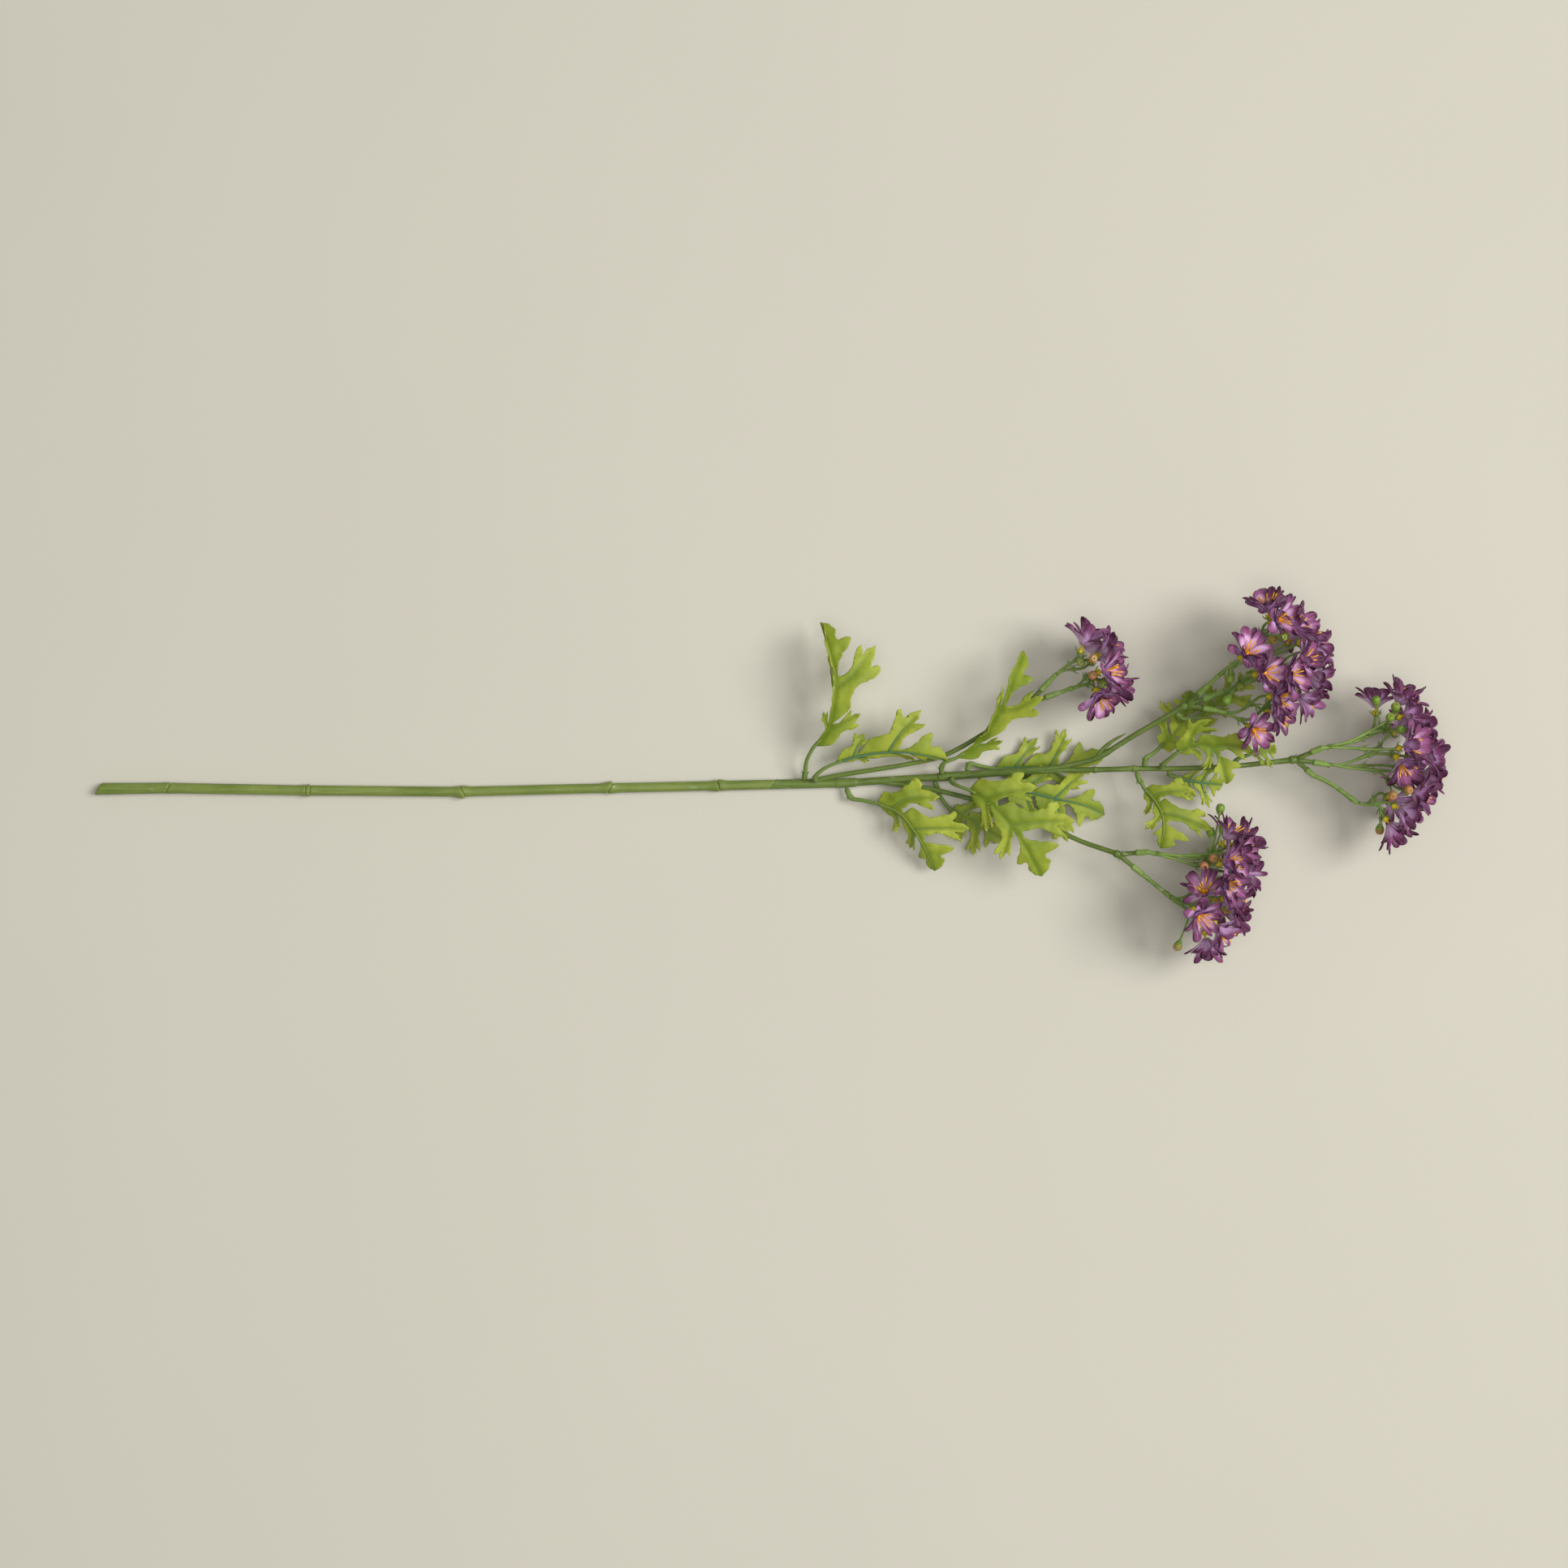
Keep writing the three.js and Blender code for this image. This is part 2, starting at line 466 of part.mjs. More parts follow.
// Both faces of the blade share one set of triangles: a strip beside the rib, and a fan for each lobe.
function blade(leaf, index) {
  const { surface, length } = bladeSurface(leaf, index);
  const places = [];
  const triangles = [];
  const place = (chart, hand) => places.push(surface(chart, hand)) - 1;
  const rib = RIB_STEPS.map((t) => place([t, 0], 1));
  const outlines = [1, -1].map((hand) => {
    const [width] = hand > 0 ? leaf.left : leaf.right;
    const facet = (a, b, c) => triangles.push(hand > 0 ? [a, b, c] : [a, c, b]);
    const fan = (middle, ring) => ring.slice(1).forEach((next, k) => facet(middle, next, ring[k]));
    const web = RIB_STEPS.slice(0, CROWN_STEP + 1).map((t, i) => (i ? place([t, WEB_SHARE], hand) : rib[0]));
    facet(rib[0], rib[1], web[1]);
    web.slice(2).forEach((next, i) => {
      facet(rib[i + 1], rib[i + 2], next);
      facet(rib[i + 1], next, web[i + 1]);
    });
    const lobes = LOBES.map((lobe) => {
      const edge = LOBE_EDGE.map((spot) => place(lobePoint(lobe, spot, length, width), hand));
      const ring = [web[lobe.first], ...edge, web[lobe.first + 2]];
      fan(web[lobe.first + 1], ring);
      return ring;
    });
    const crown = [web[CROWN_STEP], ...CROWN.map((chart) => place(chart, hand))];
    fan(rib[CROWN_STEP + 1], [rib[CROWN_STEP], ...crown, rib[CROWN_STEP + 2]]);
    return [...lobes.flat(), ...crown];
  });
  const count = places.length;
  const half = BLADE_THICKNESS / 2;
  const points = [...places.map(({ p, face }) => offset(p, face, half)),
    ...places.map(({ p, face }) => offset(p, face, -half))];
  const under = triangles.map(([a, b, c]) => [a + count, c + count, b + count]);
  const rim = [rib[0], ...outlines[1], rib[rib.length - 1], ...outlines[0].toReversed()];
  const wall = rim.flatMap((a, i) => {
    const b = rim[(i + 1) % rim.length];
    return [[a, a + count, b + count], [a, b + count, b]];
  });
  return solidOf(points, [...triangles, ...under, ...wall]);
}

// What a peg's socket takes out of the piece that sits over it.
function socket(start, end, out, radius, sides) {
  const stations = [offset(start, out, -BORE_OVERRUN), offset(end, out, GAP)];
  return tube(stations.map((p) => ({ p, r: radius + PLAY })), sides);
}

function leafStalk(leaf) {
  const { start, end, out } = leafSeat(leaf);
  const rib = new THREE.CatmullRomCurve3(leaf.rib.map(at));
  const [neck, middle, base, inside] = LEAF_STALK_RADII;
  const stations = [
    { p: start, r: COLLAR_RADIUS },
    { p: offset(end, out, COLLAR_ROOF), r: COLLAR_RADIUS },
    { p: offset(end, out, COLLAR_TAPER), r: neck },
    { p: at(leaf.way[2]), r: middle },
    { p: rib.getPoint(0), r: base },
    { p: rib.getPoint(0.05), r: inside },
  ];
  return { body: tube(stations, ARM_SIDES), bore: socket(start, end, out, NUB_RADIUS, STALK_SIDES) };
}

function leafSolid(leaf, index, surface) {
  const stalk = leafStalk(leaf);
  return stalk.body.add(blade(leaf, index)).subtract(stalk.bore).intersect(surface);
}

// ---------------------------------------------------------------- picks

// A floret's place and axis, and its number for draws.
function floretPlace([u, v, z, heading, rise], number) {
  const turn = degrees(heading);
  const up = degrees(rise);
  const axis = new THREE.Vector3(Math.cos(up) * Math.cos(turn), Math.cos(up) * Math.sin(turn), Math.sin(up));
  return { base: at([u, v, z]), axis, number };
}

// Where a stalk starts: round the fork's rim, on the side that it goes to.
function stalkStart(fork, along, target) {
  const lean = toward(fork, target);
  const aside = offset(lean, along, -lean.dot(along));
  return offset(fork, aside.normalize(), FORK_RADIUS - STALK_RADIUS);
}

// A stalk leaves its start along the pick and comes to the floret from behind, swells to a stud there
// and ends in a pin through the floret's middle.
function floretStalk(start, along, { base, axis }) {
  const reach = start.distanceTo(base);
  const leaving = offset(start, along, reach * STALK_BEND.leave);
  const arriving = offset(base, axis, -reach * STALK_BEND.arrive - STALK_BEND.straight);
  const curve = new THREE.CubicBezierCurve3(start, leaving, arriving, offset(base, axis, STALK_END));
  const stalk = [0, 0.5, 1].map((t) => ({ p: curve.getPoint(t), r: STALK_RADIUS }));
  return [...stalk, ...STUD.map(([d, r]) => ({ p: offset(base, axis, d), r }))];
}

// Every second stalk branches off the one before it, and the others leave the fork.
function floretStalks(fork, along, florets) {
  const stalks = [];
  florets.forEach((floret, k) => {
    const before = k % 2 ? stalks[k - 1] : null;
    const start = before ? before[1].p : stalkStart(fork, along, floret.base);
    const way = before ? toward(before[0].p, before[1].p) : along;
    stalks.push(floretStalk(start, way, floret));
  });
  return stalks;
}

// A berry's stem starts at the middle of the nearest floret stalk.
function berryStalk(stalks, place) {
  const berry = at(place);
  const [start] = stalks.map((line) => line[1].p).sort((a, b) => a.distanceTo(berry) - b.distanceTo(berry));
  const out = toward(start, berry);
  const body = BERRY_PROFILE.map(([share, r]) => ({ p: offset(berry, out, share * BERRY_RADIUS), r }));
  return [{ p: start, r: BERRY_STEM_RADIUS }, ...body];
}

// Every tube that a pick is made of, so that the petals can be cut clear of them.
function pickTubes(pick, firstNumber) {
  const { start, end, out } = pickSeat(pick);
  const way = pick.way.slice(1).map(at);
  const fork = way[way.length - 1];
  const bends = way.slice(0, -1).filter((p) => p.distanceTo(start) > SLEEVE_LENGTH + SLEEVE_CLEARANCE);
  const shaft = [
    { p: start, r: SLEEVE_RADIUS },
    { p: offset(start, out, SLEEVE_LENGTH), r: SLEEVE_RADIUS },
    ...bends.map((p) => ({ p, r: SHAFT_RADIUS })),
    { p: fork, r: FORK_RADIUS },
  ];
  const along = toward(shaft[shaft.length - 2].p, fork);
  const florets = pick.florets.map((row, k) => floretPlace(row, firstNumber + k));
  const stalks = floretStalks(fork, along, florets);
  const berries = pick.berries.map((place) => berryStalk(stalks, place));
  return { shaft, stalks, berries, bore: socket(start, end, out, PRONG_RADIUS, ARM_SIDES), florets };
}

function pickSolid({ shaft, stalks, berries, bore }, surface) {
  const thin = [...stalks, ...berries].map((line) => tube(line, STALK_SIDES));
  return join([tube(shaft, ARM_SIDES), ...thin]).subtract(bore).intersect(surface);
}

function pickRooms({ shaft, stalks, berries }) {
  return [room(shaft, ARM_SIDES), ...[...stalks, ...berries].map((line) => room(line, STALK_SIDES))];
}

// ---------------------------------------------------------------- florets

const RIM_POINTS = 4; // to a petal
const RIM_SHARE = (RIM_POINTS * PETALS) / HOLE_CORNERS; // to each corner of the hole

// A floret is one closed cup: its rim runs valley, side, tip, side round every petal, each petal thick
// at its sides only, with fans down to the hole inside and out.
function floretSolid({ base, axis, number }) {
  const seed = Math.abs(axis.z) < 0.9 ? new THREE.Vector3(0, 0, 1) : new THREE.Vector3(1, 0, 0);
  const right = seed.cross(axis).normalize();
  const up = axis.clone().cross(right);
  const size = 1 + FLORET_SPREAD.size * draw(number, 1);
  const spin = 2 * Math.PI * draw(number, 2);
  const pitch = (2 * Math.PI) / PETALS;
  const spot = ([out, along], turn) => {
    const radial = offset(right.clone().multiplyScalar(Math.cos(turn)), up, Math.sin(turn));
    return offset(offset(base, radial, out * size), axis, along * size);
  };
  const rim = [];
  for (let k = 0; k < PETALS; k += 1) {
    const layer = LAYERS[k % 2];
    const middle = spin + (k + FLORET_SPREAD.turn * draw(number, 10 + k)) * pitch;
    const raise = FLORET_SPREAD.raise * draw(number, 30 + k);
    const spread = PETAL_HALF_WIDTH / layer.wide[0];
    const tip = [layer.tip[0] - raise * FLORET_SPREAD.shorten, layer.tip[1] + raise];
    const side = { at: layer.wide, slope: layer.slope, thick: PETAL_THICKNESS };
    rim.push({ turn: spin + (k - 0.5) * pitch, at: VALLEY.spot, slope: VALLEY.slope, thick: 0 });
    rim.push({ ...side, turn: middle - spread });
    rim.push({ turn: middle, at: tip, slope: layer.slope, thick: 0 });
    rim.push({ ...side, turn: middle + spread });
  }
  const face = (hand) => rim.map((point) => {
    const slope = degrees(point.slope);
    const lift = (hand * point.thick) / 2;
    return spot([point.at[0] - lift * Math.sin(slope), point.at[1] + lift * Math.cos(slope)], point.turn);
  });
  const corners = rim.filter((_, k) => k % RIM_SHARE === RIM_SHARE / 2);
  const hole = (along) => corners.map(({ turn }) => spot([HOLE_RADIUS, along], turn));
  const count = rim.length;
  const points = [...face(1), ...face(-1), ...hole(CUP_FLOOR), ...hole(0)];
  const over = (k) => k % count;
  const under = (k) => (rim[over(k)].thick ? over(k) + count : over(k));
  const inner = (k) => 2 * count + Math.floor(over(k) / RIM_SHARE);
  const outer = (k) => inner(k) + HOLE_CORNERS;
  const triangles = rim.flatMap((_, a) => [
    [inner(a), over(a), over(a + 1)], [outer(a), under(a + 1), under(a)],
    [over(a), under(a), under(a + 1)], [over(a), under(a + 1), over(a + 1)]]);
  const seams = rim.filter((_, k) => k % RIM_SHARE === 0).flatMap((_, k) => {
    const [valley, before] = [RIM_SHARE * k, RIM_SHARE * k - 1 + count];
    return [[inner(valley), inner(before), over(valley)], [outer(valley), under(valley), outer(before)],
      [inner(valley), outer(before), inner(before)], [inner(valley), outer(valley), outer(before)]];
  });
  return solidOf(points, [...triangles, ...seams].filter(([a, b, c]) => a !== b && b !== c && a !== c));
}

function headSolid(florets, rooms, surface) {
  const petals = join(florets.map(floretSolid));
  const reached = rooms.filter((each) => !each.intersect(petals).isEmpty());
  return reached.reduce((left, each) => left.subtract(each), petals).intersect(surface);
}

// ---------------------------------------------------------------- the part

function meshOf(name, solid, look) {
  const { vertProperties, triVerts, numProp } = largest(solid.simplify(SLIVER)).getMesh();
  const geometry = new THREE.BufferGeometry();
  const places = new Float32Array((vertProperties.length / numProp) * 3);
  for (let i = 0; i < places.length; i += 1) {
    places[i] = vertProperties[Math.floor(i / 3) * numProp + (i % 3)];
  }
  geometry.setAttribute('position', new THREE.BufferAttribute(places, 3));
  geometry.setIndex(new THREE.BufferAttribute(new Uint32Array(triVerts), 1));
  const mesh = new THREE.Mesh(geometry, new THREE.MeshStandardMaterial(COLOURS[look]));
  mesh.name = name;
  return mesh;
}

const part = new THREE.Group();
const surface = aboveSurface();

part.add(meshOf('main_stem', mainStem(surface), 'stem'));
part.add(meshOf('stem_wire', stemWire(), 'wire'));
part.add(meshOf('branch_frame', branchFrame(surface), 'branch'));
LEAVES.forEach((leaf, index) => part.add(meshOf(leaf.name, leafSolid(leaf, index, surface), 'leaf')));

HEADS.forEach((head) => {
  let number = head.seed * DRAWS_PER_SEED;
  const picks = head.picks.map((pick) => {
    const tubes = pickTubes(pick, number);
    number += pick.florets.length;
    return tubes;
  });
  picks.forEach((pick, k) => {
    part.add(meshOf(`pick_${head.name}_${k + 1}`, pickSolid(pick, surface), 'pick'));
  });
  const florets = picks.flatMap((pick) => pick.florets);
  part.add(meshOf(`petals_${head.name}`, headSolid(florets, picks.flatMap(pickRooms), surface), 'petal'));
});

export default part;
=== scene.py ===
"""The looks of an artificial flower stem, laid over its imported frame: moulded stem and arms, toothed
leaves, picks with studs and berries, fabric florets with stamens, and a plain pale stage."""

import math
from bisect import bisect_left

import bmesh
import bpy
from bpy.props import FloatProperty, FloatVectorProperty, IntProperty, PointerProperty
from mathutils import Matrix, Vector


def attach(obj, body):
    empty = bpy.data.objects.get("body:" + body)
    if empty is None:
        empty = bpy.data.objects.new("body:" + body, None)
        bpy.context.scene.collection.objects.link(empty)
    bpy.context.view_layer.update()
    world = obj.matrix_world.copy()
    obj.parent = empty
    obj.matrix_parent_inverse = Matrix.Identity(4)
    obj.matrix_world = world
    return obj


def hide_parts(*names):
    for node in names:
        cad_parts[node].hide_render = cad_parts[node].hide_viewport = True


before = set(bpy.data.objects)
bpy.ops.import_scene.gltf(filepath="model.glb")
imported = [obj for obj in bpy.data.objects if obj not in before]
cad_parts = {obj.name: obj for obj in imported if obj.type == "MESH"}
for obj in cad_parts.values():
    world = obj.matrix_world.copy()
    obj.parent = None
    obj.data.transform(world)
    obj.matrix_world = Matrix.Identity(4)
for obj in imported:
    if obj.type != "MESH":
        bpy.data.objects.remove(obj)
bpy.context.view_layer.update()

bl_info = {
    "name": "Artificial Flower Stem",
    "version": (1, 0, 0),
    "blender": (4, 5, 0),
    "location": "View3D > Sidebar > Flower Stem",
    "description": "Builds the visible pieces of an artificial flower stem over its frame",
    "category": "Object",
}

# ---------------------------------------------------------------- where things are

# Places are read from the photograph as [u, v, z]: u and v in its 1932 x 1932 pixels, z in millimetres
# above the surface, seen straight down.
MM_PER_PIXEL = 0.42
PHOTO_SIZE = 1932
PHOTO_MIDDLE = PHOTO_SIZE / 2
EYE_HEIGHT = 1500
SENSOR_WIDTH = 36
ORIGIN = (8.1, -4.7)
MM = 0.001

# Main stem: [u, v, z, radius], and its joint rings: u, how far it swells before and after it, how much
# more of that is on one side (1 towards the photograph's top before it and its bottom after it), slant in
# millimetres over the radius, and the places of its grooves beside it.
STEM = [
    (122, 972, 3.0, 3.0), (207, 971, 3.0, 2.7), (378, 974, 3.0, 2.6), (566, 975.5, 3.0, 2.5),
    (751, 971, 3.0, 2.45), (886, 968, 3.0, 2.45), (952.4, 966.5, 3.0, 2.45),
]
STEM_RINGS = [
    (207.5, 0.2, 0.15, 0.5, 1.05, (0,)), (382, 0.65, 0.1, 0.0, 0.15, (-5, 0)),
    (570, 0.75, 0.45, -0.6, -1.3, (0,)), (752, 0.7, 0.35, 0.6, 1.3, (0,)),
    (885.4, 0.45, 0.6, -0.4, -0.5, (0,)),
]
STEM_SEAM_SLANT = 1.9
CUT_SLOPE = 0.6

TRUNK = [
    (952.6, 966.5, 3, 2.55), (955.2, 966.5, 3, 2.45), (1000, 965.5, 3.1, 2.4),
    (1028, 965.2, 3.3, 2.2), (1032, 965.1, 3.4, 2.45), (1053, 964, 4, 2.35), (1057, 963.8, 4.1, 1.9),
    (1097, 961, 5, 1.9), (1154, 957.5, 8, 1.8), (1158, 957.2, 8.2, 2.4), (1166, 956.6, 8.6, 2.5),
    (1172, 956, 8.9, 2.1), (1215, 953, 11, 2.0), (1259, 950, 13, 1.8), (1304, 949, 15, 1.5),
    (1345, 948.6, 17, 1.4), (1349, 948.5, 17.2, 1.8), (1353, 948.4, 17.4, 1.4), (1392, 947.2, 19.8, 1.4),
    (1397, 947, 20, 1.9), (1403, 947, 20.4, 1.4), (1450, 947, 23, 1.3), (1520, 944, 27, 1.25),
    (1560, 940, 30, 1.3), (1587, 937, 31.6, 1.5), (1592, 936.2, 32, 2.2), (1598, 935.5, 32.2, 1.7),
]
ARM_A = [
    (985, 965.4, 3.2, 1.2), (1008, 961, 4.2, 1.4), (1030, 956, 6, 1.3), (1079, 948, 11, 1.25),
    (1121, 941, 13, 1.2), (1163, 931, 15, 1.2), (1212, 904, 18, 1.2), (1241, 884.5, 20, 1.2),
    (1246, 881, 20.4, 1.6), (1252, 877, 20.8, 1.2), (1268, 866.5, 22, 1.7),
]
ARM_B = [
    (1240, 951.4, 12, 1.2), (1270, 948.5, 14.2, 1.4), (1300, 946, 15.5, 1.4), (1330, 940, 17, 1.4),
    (1349, 935, 18, 1.4), (1364, 927, 19, 1.7), (1372, 922, 19.6, 1.35), (1396, 907, 21.5, 1.35),
    (1425, 890, 24, 1.35), (1452, 874, 26.6, 1.4), (1458, 870.5, 27, 2.2), (1464, 867, 27.4, 1.5),
]
ARM_D = [
    (1080, 963, 4.4, 1.2), (1110, 966.5, 5.2, 1.3), (1141, 971, 6.5, 1.3), (1180, 980, 8.5, 1.25),
    (1237, 996, 12, 1.25), (1294, 1019, 17, 1.25), (1333, 1037, 20, 1.25), (1371, 1050, 23.4, 1.3),
    (1376, 1052, 24, 2.1), (1381, 1054, 24.3, 1.5),
]
SPUR = [(1349, 935, 18, 0.9), (1361, 921, 19, 1.1), (1374, 911, 19.5, 0.8), (1387, 904, 20, 0.3)]

# Leaves: name, seat radius, left and right (half width, lift in degrees), which side the raised rib is
# on (1 over, -1 under), the way from the branch, and the rib from base to tip.
LEAVES = [
    ("leaf_stem_upper", 2.4, (13, 78), (21, 8), -1, [(990, 965, 3.2), (992, 952, 8), (994, 937, 12)],
     [(1003, 920, 15), (1019, 900, 19), (1028, 862, 24), (1029, 832, 26), (1021, 800, 24), (1011, 768, 18)]),
    ("leaf_fork", 2.6, (20, 4), (9, -62), 1, [(1006, 965.3, 3.2), (1004, 958, 10), (1014, 948, 13)],
     [(1028, 941, 14), (1058, 932, 17), (1095, 927, 20), (1130, 929, 23), (1168, 938, 22)]),
    ("leaf_arm_a", 2.5, (9, 64), (16, 4), -1, [(1161, 957, 8.4), (1160, 948, 13), (1165, 939, 17)],
     [(1178, 934, 18), (1200, 920, 20.5), (1222, 890, 25), (1238, 865, 30), (1247, 838, 32),
      (1262, 801, 28)]),
    ("leaf_stem_lower", 2.9, (23, 12), (10, -42), 1, [(1040, 965, 3.6), (1046, 979, 4.6), (1062, 986, 6.5)],
     [(1080, 990, 9), (1108, 1002, 15), (1125, 1022, 18), (1140, 1047, 15), (1152, 1074, 7)]),
    ("leaf_under", 2.2, (14, -6), (14, -4), -1, [(1150, 957.6, 7.8), (1154, 970, 4.2), (1160, 984, 3.2)],
     [(1172, 998, 3.2), (1200, 1012, 3.6), (1237, 1035, 2.6)]),
    ("leaf_collar", 2.5, (25, 8), (14, -18), -1, [(1172, 956, 9), (1173, 963, 15), (1180, 968, 20)],
     [(1193, 973, 23), (1215, 985, 28), (1240, 1010, 31), (1262, 1040, 30), (1284, 1080, 23)]),
    ("leaf_back_lower", 2.3, (16, -3), (19, -6), 1, [(1206, 953.8, 10.6), (1208, 966, 11), (1222, 974, 11)],
     [(1240, 972, 10.5), (1268, 976, 9.5), (1300, 984, 9.5), (1335, 992, 9.5), (1362, 1004, 8)]),
    ("leaf_back_upper", 2.4, (17, 4), (12, -3), 1, [(1190, 955, 9.8), (1193, 945, 6.5), (1208, 944, 4)],
     [(1226, 947, 3.6), (1265, 946, 3.8), (1310, 944, 4), (1362, 930, 3.6)]),
    ("leaf_arm_c_lower", 1.9, (22, 10), (9, -20), 1, [(1399, 947, 20.2), (1402, 956, 21), (1406, 964, 22)],
     [(1410, 972, 23), (1424, 988, 28), (1432, 1004, 31), (1434, 1022, 33), (1430, 1046, 31)]),
    ("leaf_arm_b_inner", 1.45, (13, -4), (15, 8), -1, [(1409, 947, 20.7), (1411, 937, 24), (1420, 929, 24)],
     [(1430, 920, 22), (1446, 905, 17), (1458, 886, 13), (1468, 850, 10)]),
    ("leaf_arm_c_upper", 1.35, (15, 10), (9, -10), -1, [(1429, 947, 22), (1432, 943, 27), (1440, 936, 31)],
     [(1450, 928, 34), (1468, 919, 37), (1486, 918, 39), (1502, 932, 39), (1512, 966, 36)]),
    ("leaf_arm_c_under", 1.35, (10, 6), (11, -6), 1, [(1440, 946.6, 22.5), (1441, 953, 18), (1448, 957, 15)],
     [(1456, 960, 13), (1478, 964, 11), (1508, 967, 9)]),
    ("leaf_head_b", 1.5, (10, 10), (10, 0), -1, [(1447, 877, 26.2), (1455, 884, 22), (1466, 886, 19)],
     [(1478, 880, 18), (1505, 862, 17), (1528, 846, 16), (1546, 826, 14)]),
    ("leaf_head_c", 1.5, (9, 8), (8, 4), -1, [(1522, 944, 27.2), (1523, 938, 32), (1533, 932, 35)],
     [(1543, 929, 36), (1556, 926, 36.5), (1572, 923, 35)]),
]
BLUE_RIBS = ("leaf_fork", "leaf_back_lower", "leaf_back_upper", "leaf_arm_c_under")
NUB_LENGTH = 3.4
COLLAR_STANDOFF = 0.55

# Heads: name, seed, and its picks. A pick is its way from the arm to its fork, its florets
# (u, v, z, heading, rise) and its berries (u, v, z, ripeness).
HEADS = [
    ("a", 31, [
        ([(1268, 866.5, 22), (1284, 849, 25), (1301, 831, 28)],
         [(1333, 798, 32, 62, 5), (1356, 806, 36, 28, 12), (1346, 813, 22, 45, -20)],
         [(1346.6, 811.5, 47, 0.8), (1332, 816, 40, 0.2)]),
        ([(1268, 866.5, 22), (1295, 857, 25), (1322, 847.5, 27)],
         [(1357, 828, 44, 5, 32), (1364, 842, 31, -22, 5), (1352, 854, 37, -68, 40),
          (1352, 838, 21, -30, -20)],
         [(1346.6, 832, 46, 1.0), (1360, 843, 46, 0.1)]),
    ]),
    ("b", 42, [
        ([(1461, 869, 27.2), (1482, 850, 33), (1502, 832, 38)],
         [(1563, 756, 40, 100, 25), (1570, 765, 46, 15, 50), (1532, 808, 51, 50, 55),
          (1588, 777, 42, 35, 30), (1604, 789, 34, 35, 10), (1588, 790, 17, 35, -25)],
         [(1568, 788, 46, 0.6), (1580, 785, 52, 0.1), (1515.7, 836, 42, 0.1)]),
        ([(1461, 869, 27.2), (1484, 861, 29), (1508, 852, 30)],
         [(1551, 830, 53, 5, 45), (1580, 832, 50, 0, 35), (1600, 816, 44, 22, 35),
          (1612, 802, 28, 10, 5), (1610, 833, 31, -12, 5), (1590, 830, 17, 0, -25)],
         [(1529, 846, 42, 0.2), (1511.5, 863, 38, 0.0)]),
        ([(1461, 869, 27.2), (1486, 873, 30), (1512, 879, 32)],
         [(1568, 859, 46, -15, 48), (1566, 878, 40, -20, 22), (1541, 897, 42, -45, 55),
          (1600, 857, 33, -32, 8)],
         [(1583, 892, 36, 0.7)]),
    ]),
    ("c", 25, [
        ([(1596, 935.8, 32.2), (1616, 927, 36), (1637, 921, 38)],
         [(1695, 874, 24, 88, 0), (1722, 870, 32, 66, 14), (1728, 882, 36, 20, 18),
          (1742, 898, 27, 5, 0), (1728, 921, 47, 10, 32), (1720, 901, 17, 30, -22)],
         [(1695.6, 863, 36, 0.0), (1719.5, 871, 44, 0.15), (1713, 884, 46, 0.05), (1726, 899, 48, 0.0)]),
        ([(1596, 935.8, 32.2), (1616, 939, 33), (1638, 943, 33)],
         [(1723, 936, 43, -60, 32), (1750, 932, 36, 0, 12), (1750, 954, 28, -8, 0),
          (1738, 976, 40, -15, 22), (1724, 946, 17, -10, -22)],
         [(1716, 979.5, 47, 0.9), (1735.5, 973, 49, 0.8)]),
        ([(1596, 935.8, 32.2), (1612, 950, 27), (1640, 966, 26), (1673, 990, 28)],
         [(1722, 995, 34, -28, 15), (1710, 1013, 29, -55, 8), (1712, 984, 19, -35, -22)],
         [(1700, 1022.5, 24, 0.7)]),
    ]),
    ("d", 77, [
        ([(1378, 1052.8, 24.2), (1399, 1051, 27), (1424, 1052, 29)],
         [(1508, 1036, 34, 58, 10), (1522, 1040, 27, 22, 0), (1519, 1050, 39, 5, 24),
          (1506, 1064, 44, 12, 38), (1528, 1076, 31, -5, 0), (1507, 1060, 17.5, 10, -22)],
         [(1503.8, 996, 34, 0.05), (1491.5, 1025, 31, 0.0), (1507, 1020.5, 37, 0.1),
          (1484, 1067, 46, 1.0), (1495, 1058, 48, 0.9)]),
        ([(1378, 1052.8, 24.2), (1394, 1066, 25), (1411, 1075, 26), (1442, 1105, 28)],
         [(1504, 1087, 45, -20, 42), (1484, 1104, 45, 105, 45), (1473, 1124, 43, -50, 50),
          (1511, 1108, 37, -12, 15), (1512, 1124, 28, -18, 0), (1499, 1139, 35, -45, 15),
          (1485, 1154, 27, -80, 0), (1497, 1109, 17.5, -25, -22)],
         [(1451, 1166, 26, 0.6)]),
    ]),
]
DRAWS_PER_SEED = 20
SLEEVE_START = 9
SLEEVE_LENGTH = 7
BERRY_RADIUS = 2.5


def at(place):
    """The point, in millimetres, that the photograph shows at a pixel, at a height."""
    u, v, z = place[:3]
    scale = MM_PER_PIXEL * (1 - z / EYE_HEIGHT)
    return Vector((ORIGIN[0] + (u - PHOTO_MIDDLE) * scale, ORIGIN[1] + (PHOTO_MIDDLE - v) * scale, z))


def draw(n, k):
    """A repeatable number from -0.5 to 0.5 for the n-th thing's k-th draw."""
    x = math.sin(n * 12.9898 + k * 78.233) * 43758.5453
    return x - math.floor(x) - 0.5


def toward(a, b):
    return (b - a).normalized()


def lerp(a, b, t):
    return a + (b - a) * t


def smooth(edge0, edge1, x):
    t = min(max((x - edge0) / (edge1 - edge0), 0.0), 1.0)
    return t * t * (3 - 2 * t)


# ---------------------------------------------------------------- lines


